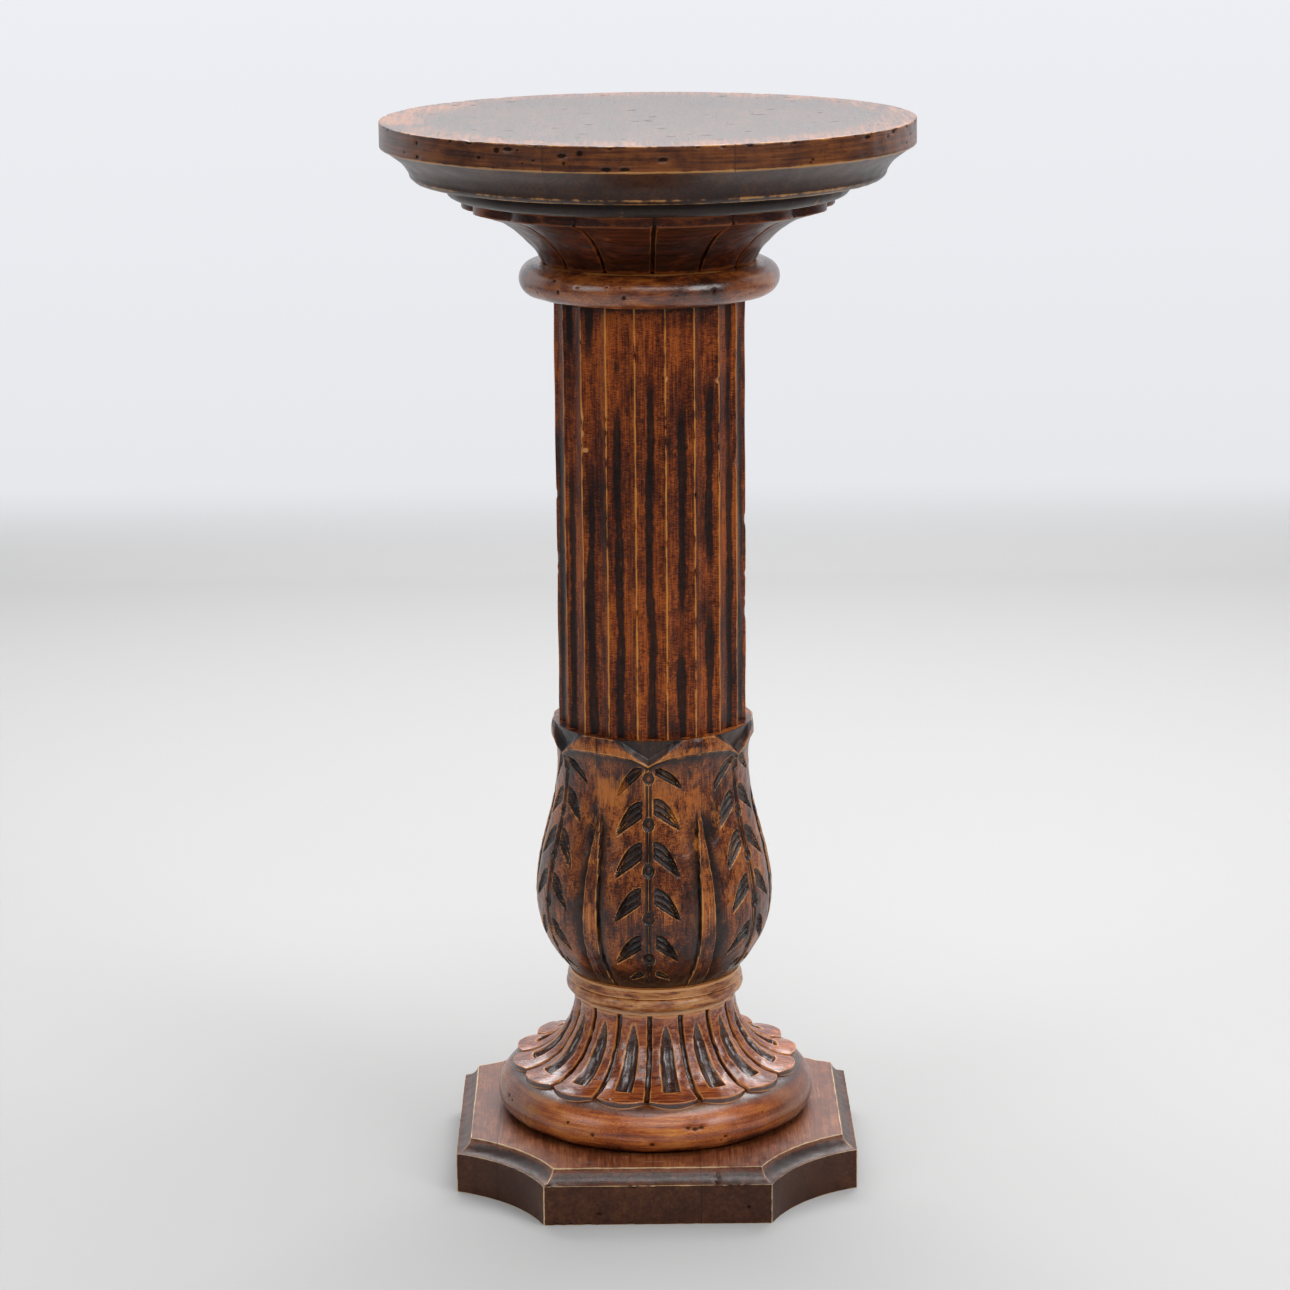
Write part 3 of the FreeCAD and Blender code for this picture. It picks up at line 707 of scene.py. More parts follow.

        # Lacquer rubbed thin in patches, with a painted highlight along the bulb's lip, and rubbed through on the
        # crests
        coat.lay(self.rubbed, coat.weigh(noted["rub_and_highlight"], (1.0, fibres), (1.4, mottle)), 0.3, 0.75, 0.8)
        on_crest = add_node(tree, "MapRange", {0: noted["crest"], 1: 0.05, 2: 0.3},
                            interpolation_type="SMOOTHSTEP").outputs[0]
        crest = coat.weigh(noted["crest"], (1.2, blotches), (1.3, mottle))
        coat.lay(self.worn, crest, self.wear_starts, self.wear_starts + 0.4, self.wear, on_crest)

        # Hairline joints between boards
        if self.seams:
            along = add_node(tree, "VectorMath", {0: coat.place, 1: self.seams.across()},
                             operation="DOT_PRODUCT").outputs["Value"]
            for offset in self.seams.offsets:
                gap = add_node(tree, "Math", {0: along, 1: offset * MM}, operation="SUBTRACT").outputs[0]
                gap = add_node(tree, "Math", {0: gap}, operation="ABSOLUTE").outputs[0]
                coat.lay(self.glaze, gap, 0.35 * MM, 0.1 * MM, 0.8)

        # Dents are dull, because the lacquer is broken there
        whole = add_node(tree, "Math", {0: 1.0, 1: dents}, operation="SUBTRACT").outputs[0]
        gloss = add_node(tree, "Math", {0: gloss, 1: whole}, operation="MULTIPLY").outputs[0]
        satin = coat.weigh(self.roughness, (0.2, fibres), (0.16, mottle))
        relief = coat.weigh(0.0, (-0.8, specks), (0.6, mottle), (0.35, fibres), (0.35, streaks))
        return coat.dress(relief, self.bump, 0.0006, Roughness=satin, Specular_IOR_Level=gloss)


@dataclass(frozen=True)
class PlainFinish:
    """A finish for the parts inside: bare turned beech or zinc-plated steel."""
    name: str
    colour: str
    second: str
    metallic: float
    roughness: float

    def material(self) -> bpy.types.Material:
        """Builds the material, with fine streaks lengthwise.

        Returns:
            The material.
        """
        coat = Coat(self.name, Grain.UPRIGHT)
        scaled = add_node(coat.tree, "Mapping", {"Vector": coat.place, "Scale": (900.0, 900.0, 40.0)}).outputs[0]
        streaks = add_node(coat.tree, "TexNoise", {"Vector": scaled, "Scale": 1.0, "Detail": 3.0}).outputs["Fac"]
        coat.colour = add_node(coat.tree, "Mix", {0: streaks, 6: linear(self.colour), 7: linear(self.second)},
                               data_type="RGBA").outputs[2]
        return coat.dress(streaks, 0.2, 0.0003, Metallic=self.metallic, Roughness=self.roughness)


def present(mesh: bpy.types.Mesh, name: str, finish: WornWood, node: str) -> None:
    """Puts a finished mesh in the scene in place of a CAD node.

    Args:
        mesh: the mesh, in millimetres.
        name: the object's name.
        finish: what it is finished with.
        node: the CAD node that it stands for.
    """
    mesh.name = name
    mesh.transform(Matrix.Scale(MM, 4))
    mesh.polygons.foreach_set("use_smooth", [True] * len(mesh.polygons))
    mesh.set_sharp_from_angle(angle=math.radians(CREASE))
    mesh.materials.clear()
    mesh.materials.append(finish.material())
    piece = bpy.data.objects.new(name, mesh)
    bpy.context.scene.collection.objects.link(piece)
    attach(piece, BODY)
    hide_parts(node)
    triangles = sum(len(face.vertices) - 2 for face in mesh.polygons)
    LOG.info("%s stands for %s with %d triangles", name, node, triangles)


def present_boards(work: Workpiece, seams: Seams, prefix: str, finish: WornWood) -> None:
    """Saws a finished workpiece into its three boards and puts each in place of its CAD node."""
    for index, (side, board) in enumerate(zip(("left", "middle", "right"), seams.cut(work.mesh))):
        present(board, f"{prefix}_{side}_wood", finish.board(index), f"{prefix}_{side}")


def levels(node: str) -> tuple[float, float]:
    """The lowest and highest point of a CAD node in millimetres."""
    low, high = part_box(node)
    return low.z / MM, high.z / MM


def scattered_marks(count: int, seed: int, radius: float, low: float, high: float, size: tuple[float, float],
                    depth: tuple[float, float]) -> list[Mark]:
    """Small seeded dents round a turned face.

    Args:
        count: how many.
        seed: which scatter.
        radius: the face's distance from the axis.
        low: the lowest height.
        high: the highest height.
        size: the smallest and largest half size.
        depth: the smallest and largest depth.

    Returns:
        The dents, as Workpiece.knock takes them.
    """
    draw = np.random.default_rng(seed)
    marks = []
    for _ in range(count):
        angle, width = draw.uniform(0, 2 * math.pi), draw.uniform(*size)
        middle = (radius * math.sin(angle), -radius * math.cos(angle), draw.uniform(low, high))
        marks.append((middle, (width, width, width * draw.uniform(0.4, 1.0)), draw.uniform(*depth)))
    return marks


def marks_at(places: Sequence[Point], radius: float, size: tuple[float, float], depth: float) -> list[Mark]:
    """Dents at given places on a turned face.

    Args:
        places: their azimuths and heights.
        radius: the face's distance from the axis.
        size: their half width and half height.
        depth: how deep they are.

    Returns:
        The dents, as Workpiece.knock takes them.
    """
    marks = []
    for azimuth, height in places:
        angle = math.radians(azimuth)
        marks.append(((radius * math.sin(angle), -radius * math.cos(angle), height),
                      (size[0], size[0], size[1]), depth))
    return marks


# --- The pieces, from the floor up

# Stained wood under satin lacquer, chipped by feet: red brown with short streaks, bare pale wood along the edges, and
# painted shade on the sides and the cove's lower part, which are duller too
PLINTH_FINISH = WornWood("plinth_red_brown_lacquer", Grain.DEEP, dark="451f10", middle="713a1e", light="9c6038",
                         glaze="0d0908", worn="d2b488", streak=2.2, wear=0.95, wear_starts=0.3, speckle=0.7,
                         roughness=0.38, specular=0.8, spread=0.11,
                         figure=(0.3, 0.3, 0.2, 0.2),
                         zones=(Zone("1c110c", 30.5, 28.0, along=Along.HEIGHT, strength=0.66, sheen=0.35),))
# Red brown stain under lacquer rubbed by hands: it warms to orange where the coat is thin, and shines most of all
RED_FINISH = WornWood("rubbed_red_brown_lacquer", Grain.ACROSS, dark="54200f", middle="7e3c1c", light="a4602f",
                      glaze="120a08", worn="cf8848", roughness=0.32, specular=0.9, spread=0.1)
# Orange stain under a dark glaze that was wiped off: the carving stays nearly black with the glaze and the painted
# shade noted there, the crests glow
STEM_FINISH = WornWood("orange_brown_glazed_lacquer", Grain.UPRIGHT, dark="38180a", middle="7a3a16", light="b0662a",
                       glaze="070505", worn="d8924a", roughness=0.34, specular=0.25,
                       figure=(0.24, 0.24, 0.34, 0.18), spread=0.09)
# Dark stain under lacquer: quiet streaks along the boards, streaks brushed round the edge, a soft shine
TOP_FINISH = WornWood("top_brown_lacquer", Grain.DEEP, dark="2a1108", middle="5e3013", light="8a4e20",
                      glaze="120c0b", worn="c08a4c", roughness=0.32, specular=0.82, spread=0.075,
                      round_from=176.0, streak=2.2, streak_length=45.0, wear_starts=0.5)


@dataclass
class Plinth:
    """The square foot with a scoop out of each corner and a cove round its top edge."""
    side: float = 279.0
    scoop_reach: float = 61.7
    scoop_sag: float = 9.1
    cove_width: float = 10.0
    cove_foot: float = 28.4
    cove_middle: Point = (6.48, 31.32)
    spacing: float = 1.5
    seams: Seams = Seams((-110.5, 29.5))

    def plan(self, inset: float) -> list[Point]:
        """The outline seen from above.

        Args:
            inset: how far it is drawn in.

        Returns:
            Its points, anticlockwise from the front left. Their number is the same for every inset.
        """
        half_chord = self.scoop_reach / math.sqrt(2)
        radius = (half_chord ** 2 + self.scoop_sag ** 2) / (2 * self.scoop_sag)
        centre = (self.side - self.scoop_reach) / 2 + (radius - self.scoop_sag) / math.sqrt(2)
        run = round((self.side - 2 * self.scoop_reach) / self.spacing)
        sweep = round(self.scoop_reach * 1.45 / self.spacing)
        half, radius = self.side / 2 - inset, radius + inset
        corner = centre - math.sqrt(radius ** 2 - (centre - half) ** 2)
        middle = centre - radius / math.sqrt(2)

        def gathered(steps: int) -> list[float]:
            """Shares along a side, closer together near its ends."""
            return [step / steps - 0.09 * math.sin(2 * math.pi * step / steps) for step in range(steps)]

        quarter = [(blend(-corner, corner, share), -half) for share in gathered(run)]
        arc = arc_through((corner, -half), (middle, -middle), (half, -corner), 400)
        quarter += [([(corner, -half)] + arc)[round(share * 400)] for share in gathered(sweep)]
        points = []
        for turn in range(4):
            cos, sin = (1, 0, -1, 0)[turn], (0, 1, 0, -1)[turn]
            points += [(x * cos - y * sin, x * sin + y * cos) for x, y in quarter]
        return points

    def rows(self, height: float) -> list[Point]:
        """The rows of the side, the cove and the top's edge.

        Args:
            height: the plinth's height.

        Returns:
            How far in and how high each row lies, from the foot up.
        """
        foot = self.cove_foot
        rows = [(0.0, level) for level in (0.5, 1.2, 2.4, 4.5, 8, 12, 16, 20, 23.5, foot - 3, foot - 1.8, foot - 1,
                                           foot - 0.45, foot)]
        rows += [arc_through((0.0, foot), self.cove_middle, (self.cove_width, height), 40)[0]]
        rows += arc_through((0.0, foot), self.cove_middle, (self.cove_width, height), 13)
        return rows + [(self.cove_width + extra, height) for extra in (0.45, 1.0, 1.8, 3.2, 6.0, 11.0)]

    def form(self, height: float) -> bmesh.types.BMesh:
        """Raises the plan row by row and closes it above and below.

        Args:
            height: the plinth's height.

        Returns:
            A closed mesh.
        """
        form = bmesh.new()
        column = form.verts.layers.float.new("column")
        ring = [form.verts.new((x, y, 0.0)) for x, y in self.plan(0.0)]
        for index, vert in enumerate(ring):
            vert[column] = index
        edges = list(form.faces.new(ring).edges)
        for inset, level in self.rows(height):
            made = bmesh.ops.extrude_edge_only(form, edges=edges)["geom"]
            plan = self.plan(inset)
            fresh = {item for item in made if isinstance(item, bmesh.types.BMVert)}
            for vert in fresh:
                vert.co = (*plan[round(vert[column])], level)
            edges = [item for item in made if isinstance(item, bmesh.types.BMEdge) and set(item.verts) <= fresh]
        bmesh.ops.edgeloop_fill(form, edges=edges)
        bmesh.ops.recalc_face_normals(form, faces=form.faces)
        return form

    def build(self) -> None:
        """Makes the plinth and its three boards."""
        low, high = levels("plinth_board_middle")
        work = Workpiece("plinth", self.form(high - low))
        half = self.side / 2
        marks = [((-16.2, -half, 27.0), (2.6, 3.0, 1.6), 1.4), ((-3.3, -half, 27.6), (2.2, 3.0, 1.4), 1.2),
                 ((40.2, -half + 4, 32.0), (1.1, 6.0, 5.0), 1.6), ((-74.0, -half + 2, 28.6), (2.4, 3.0, 1.3), 1.0),
                 ((62.0, -half, 12.0), (2.0, 2.0, 2.0), 0.7), ((-40.0, -half, 8.0), (3.0, 2.0, 1.4), 0.6)]
        draw = np.random.default_rng(5)
        for _ in range(46):
            along, quarter = draw.uniform(-76, 76), int(draw.integers(0, 4))
            x, y = ((along, -half), (half, along), (-along, half), (-half, -along))[quarter]
            marks.append(((x, y, draw.choice([28.4, 28.0, 0.8])), (draw.uniform(1.0, 2.6),) * 2 + (1.1,),
                          draw.uniform(0.3, 0.9)))
        work.note_wear(fine=0.09, broad=0.7, rounds=(3, 24))
        work.push(0.14 * ripple(work.points, 9.0, 11) * rise(0.2, 2.0, work.points[:, 2]) - 0.14)
        work.note("mark", work.knock(marks) * 0.6)
        present_boards(work, self.seams, "plinth_board", replace(PLINTH_FINISH, seams=self.seams))


@dataclass
class BaseRing:
    """The large half-round ring on the plinth."""
    radius: float = 111.8
    foot_set_in: float = 11.8
    full_height: float = 12.5
    columns: int = 520

    def outline(self, low: float, high: float) -> Outline:
        """Draws the ring's outline.

        Args:
            low: the height of its foot.
            high: the height of its top.

        Returns:
            The outline.
        """
        shoulder = high - low - self.full_height
        outline = Outline(low).line(self.radius - self.foot_set_in, low, 12.0)
        outline.round_out(self.radius, low + self.full_height, 18)
        return outline.round_in(self.radius - shoulder, high, 28).line(0, high, 24.0)

    def build(self) -> None:
        """Makes the ring."""
        low, high = levels("base_ring")
        work = Workpiece("base_ring", self.outline(low, high).turned(self.columns))
        shown = rise(98, 102, work.radius)
        work.waver(0.16, 26.0, 3, shown)
        marks = marks_at(((-0.7, 61.7), (-31.3, 61.2), (-1.8, 46.4), (-33.4, 62.5)), self.radius, (2.2, 1.6), 0.8)
        marks += marks_at(((11.2, 57.4), (13.6, 56.4), (16.0, 57.0)), self.radius, (2.6, 1.5), 1.1)
        marks += scattered_marks(34, 8, self.radius - 1.5, low + 4, high - 7, (1.0, 2.6), (0.3, 0.8))
        work.note_wear(fine=0.3, broad=0.6)
        work.note("mark", work.knock(marks))
        # Its zones paint light and shade: the front keeps the lighter tones, where it is lit and rubbed, and it darkens
        # towards the back; a painted shadow darkens and dulls its foot, and painted shade with glaze lies on its top
        # round the petals' tips
        finish = replace(RED_FINISH, name="base_ring_red_brown_lacquer", dark="6a280c", middle="b05a22",
                         light="e09040", streak=2.2, streak_length=70.0, spread=0.1, specular=0.8,
                         figure=(0.4, 0.2, 0.3, 0.1), round_from=60.0, roughness=0.28,
                         zones=(Zone("34170b", -100, -55, along=Along.DEPTH, strength=0.62),
                                Zone("1d0e08", low + 9, low + 1, along=Along.HEIGHT, strength=0.9, sheen=0.6),
                                Zone("1d0e08", 106.0, 101.5, strength=0.75)))
        present(work.mesh, "base_ring_wood", finish, "base_ring")


@dataclass(frozen=True)
class Petals:
    """Petals in plan: round tips that meet at notches."""
    count: int
    turn: float
    tip: float
    notch: float

    def reach(self, beside: Array) -> Array:
        """How far out a petal reaches.

        Args:
            beside: degrees beside its middle.

        Returns:
            The radius of its edge there.
        """
        half = math.radians(180.0 / self.count)
        sag = self.tip - self.notch * math.cos(half)
        radius = ((self.notch * math.sin(half)) ** 2 + sag * sag) / (2 * sag)
        centre, angle = self.tip - radius, np.radians(beside)
        return centre * np.cos(angle) + np.sqrt(np.maximum(radius ** 2 - (centre * np.sin(angle)) ** 2, 0.0))


def drawn_to(reach: Array, path: Array, first: int, last: int, row: Array) -> tuple[Array, Array, Array, Array]:
    """Draws the rows of a flare together or apart, so that the last one meets the petals' ends.

    Args:
        reach: how far out the petals reach at each vertex.
        path: the outline's points.
        first: the number of the flare's first point.
        last: the number of its last point.
        row: the number of each vertex's point.

    Returns:
        For each vertex its radius and height, and the radius and height of a step of length 1 along the flare.
    """
    index, part = np.arange(first, last + 1), path[first:last + 1]
    end = np.interp(reach, part[:, 0], index)
    spot = first + (np.clip(row, first, last) - first) * (end - first) / (last - first)
    radius, height, step_r, step_z = (np.interp(spot, index, values)
                                      for values in (*part.T, *np.gradient(part, axis=0).T))
    length = np.hypot(step_r, step_z)
    return radius, height, step_r / length, step_z / length


@dataclass
class PetalSkirt:
    """The carved flare: 16 petals, each with a square-ended gouge, parted by grooves."""
    petals: Petals = Petals(16, 7.05, 101.4, 94.6)
    top_radius: float = 57.0
    tip_height: float = 72.8
    flare: tuple[Point, ...] = ((0.0, 1.0), (0.008, 0.88), (0.035, 0.76), (0.1, 0.575), (0.2, 0.42), (0.29, 0.3),
                                (0.45, 0.165), (0.68, 0.06), (1.0, 0.0))
    groove_width: float = 3.8
    groove_depth: float = 3.0
    gouge_ends: Point = (114.7, 87.2)
    columns: int = 44
    rows: int = 92

    def build(self) -> None:
        """Makes the skirt over the base ring's shoulder."""
        top = levels("petal_skirt")[1]
        ring = BaseRing()
        ring_low, ring_high = levels("base_ring")
        shoulder = ring_high - ring_low - ring.full_height
        middle = ring.radius - shoulder

        def on_ring(radius: Array) -> Array:
            """The height of the base ring's top at a radius."""
            drop = np.maximum(shoulder ** 2 - np.maximum(radius - middle, 0) ** 2, 0.0)
            return ring_high - shoulder + np.sqrt(drop)

        spread, lift = self.petals.tip - self.top_radius, top - self.tip_height
        knots = [(self.top_radius + spread * out, self.tip_height + lift * up) for out, up in self.flare]
        outline = Outline(top).line(self.top_radius, top, 20.0)
        first = outline.row
        outline.curve(knots[1:], self.rows)
        last = outline.row
        foot = float(on_ring(self.petals.tip))
        outline.line(self.petals.tip, foot, 0.6)
        under = outline.row
        outline.line(middle, ring_high, 3.0)
        inner = outline.row
        outline.line(0, ring_high, 40.0)
        path = np.array(outline.points)
        work = Workpiece("petal_skirt", outline.turned(self.petals.count * self.columns), self.petals.turn)
        work.gather_columns(self.petals.count, self.petals.turn, 0.45)
        beside, row = work.from_centre(self.petals.count, self.petals.turn), work.row
        reach = self.petals.reach(beside)
        radius, height, step_r, step_z = drawn_to(reach, path, first, last, row)
        out_r, out_z = -step_z, step_r

        # Grooves between the petals and a gouge down each petal
        half = 180.0 / self.petals.count
        from_groove = np.radians(half - np.abs(beside)) * radius
        cut = -self.groove_depth * (1 - rise(self.groove_width / 2 - 0.75, self.groove_width / 2 + 0.1, from_groove))
        cut -= 1.9 * (np.abs(beside) / half) ** 2.4
        aside = np.radians(beside) * radius
        gouge_top, gouge_foot = self.gouge_ends
        width = np.interp(height, (76, 80.5, 96.5, 106, 111, gouge_top), (5.9, 5.7, 4.9, 2.9, 1.5, 0.01))
        depth = np.interp(height, (78, 96, 106, gouge_top), (4.3, 3.3, 2.0, 0.2))
        inside = np.clip(1 - (aside / width) ** 2, 0, 1) ** 0.75
        square_end = 1 - rise(gouge_foot - 0.6, gouge_foot + 0.7, radius + 0.05 * np.abs(aside))
        cut -= depth * inside * square_end
        flare_rows = work.between(first, last)
        tip_rows = (row > last) & (row <= under)
        under_rows = (row > under) & (row <= inner)
        tip_height = height + cut * out_z
        share = (row - last) / (under - last)
        work.radius = np.where(flare_rows, radius + cut * out_r, work.radius)
        work.height = np.where(flare_rows, height + cut * out_z, work.height)
        at_tip = radius + cut * out_r
        work.radius = np.where(tip_rows, blend(at_tip, reach, np.clip(share * 3, 0, 1)), work.radius)
        work.height = np.where(tip_rows, blend(tip_height, on_ring(reach), np.clip(share, 0, 1)), work.height)
        back = (row - under) / (inner - under)
        under_radius = blend(reach, middle, np.clip(back, 0, 1))
        work.radius = np.where(under_rows, under_radius, work.radius)
        work.height = np.where(under_rows, on_ring(under_radius), work.height)
        work.settle()
        shown = flare_rows & (row > first + 2)
        work.push(np.where(shown, 0.16 * ripple(work.points, 7.0, 21) + 0.12 * ripple(work.points, 20.0, 22) - 0.18, 0))
        # Glaze in the gouges and the grooves, and the tips' faces darkened through their middle
        carved = np.maximum(np.clip(depth * inside * square_end / 0.9, 0, 1),
                            1 - rise(self.groove_width / 2 - 0.75, self.groove_width / 2 + 0.4, from_groove))
        glaze_and_shade = np.where(tip_rows, 0.85 * rise(0.12, 0.35, share) * (1 - 0.6 * rise(0.8, 1.0, share)),
                         np.where(flare_rows, 0.9 * carved, 0.0))
        work.note_wear(fine=0.15, broad=0.75, rounds=(3, 36), glaze_and_shade=glaze_and_shade)
        work.note("mark", work.knock(scattered_marks(26, 31, 99.0, 72, 76, (0.9, 2.2), (0.3, 0.9))) * 0.7)
        finish = replace(RED_FINISH, name="skirt_red_brown_lacquer", seed=5.1, streak=1.8, glaze_amount=0.82,
                         glaze_from=0.3, dark="4a1a0a", middle="843a18", light="bc6a34", specular=1.0,
                         roughness=0.23, spread=0.09)
        present(work.mesh, "petal_skirt_wood", finish, "petal_skirt")


@dataclass
class Collar:
    """The small turned bead between skirt and bulb."""
    neck: float = 56.5
    quirk_height: float = 3.8
    bead_radius: float = 62.6
    bead_height: float = 10.0
    fillet: Point = (61.8, 60.0)
    columns: int = 400

    def build(self) -> None:
        """Makes the collar."""
        low, high = levels("collar_ring")
        quirk, bead = low + self.quirk_height, low + self.quirk_height + self.bead_height
        inner = self.bead_radius - self.bead_height / 2
        outline = Outline(low).line(self.neck, low, 15.0).line(self.neck, quirk, 0.9).line(inner, quirk, 0.8)
        outline.arc((self.bead_radius, (quirk + bead) / 2), (inner, bead), 22).line(self.fillet[0], bead, 0.7)
        outline.line(self.fillet[1], high, 0.75).line(0, high, 15.0)
        work = Workpiece("collar_ring", outline.turned(self.columns))
        work.waver(0.1, 14.0, 41, rise(55, 57, work.radius))
        work.knock(scattered_marks(14, 43, 62.0, bead - 9, high - 1, (0.8, 1.8), (0.2, 0.6)))
        work.note_wear(fine=0.22, broad=0.22, rounds=(4, 24))
        finish = replace(RED_FINISH, name="collar_tan_lacquer", dark="54240e", middle="a0592a", light="d8944e",
                         worn="e0a468", seed=2.2, glaze_from=0.0, round_from=50.0, streak=2.4, streak_length=30.0,
                         spread=0.075)
        present(work.mesh, "collar_ring_wood", finish, "collar_ring")


@dataclass(frozen=True)
class Leaflet:
    """A fan of gouges that leaves the stem and narrows to a point: where it starts, ends and how wide it starts."""
    start: Point
    tip: Point
    width: float

    def cover(self, aside: Array, height: Array) -> tuple[Array, Array]:
        """Where the leaflet lies, by the distance beside the stem and the height.

        Args:
            aside: millimetres beside the stem.
            height: the height.

        Returns:
            The level between its lower and its upper edge, and how much of the leaflet is there, from 0 to 1.
        """
        span = self.tip[0] - self.start[0]
        share = (aside - self.start[0]) / span
        held = np.clip(share, 0, 1)
        upper = self.start[1] - (self.start[1] - self.tip[1]) * held ** 2.3
        low_start = self.start[1] - self.width
        lower = low_start - (low_start - self.tip[1]) * held ** 0.95
        gap = np.maximum(upper - lower, 0.05)
        level = (height - lower) / gap
        there = rise(-0.02, 0.1, share) * (1 - rise(0.86, 1.02, share)) * np.clip(gap / self.gouges / 2.6, 0, 1)
        return level, np.where((level > 0) & (level < 1), there, 0.0)

    @property
    def gouges(self) -> int:
        """How many gouges lie side by side."""
        return 3 if self.width > 6 else 2

    def profile(self, level: Array) -> Array:
        """How deep the gouges are at a level, from 0 to 1."""
        phase = np.clip(level, 0, 1) * self.gouges % 1.0
        return np.clip(4 * phase * (1 - phase), 0, 1) ** 0.7


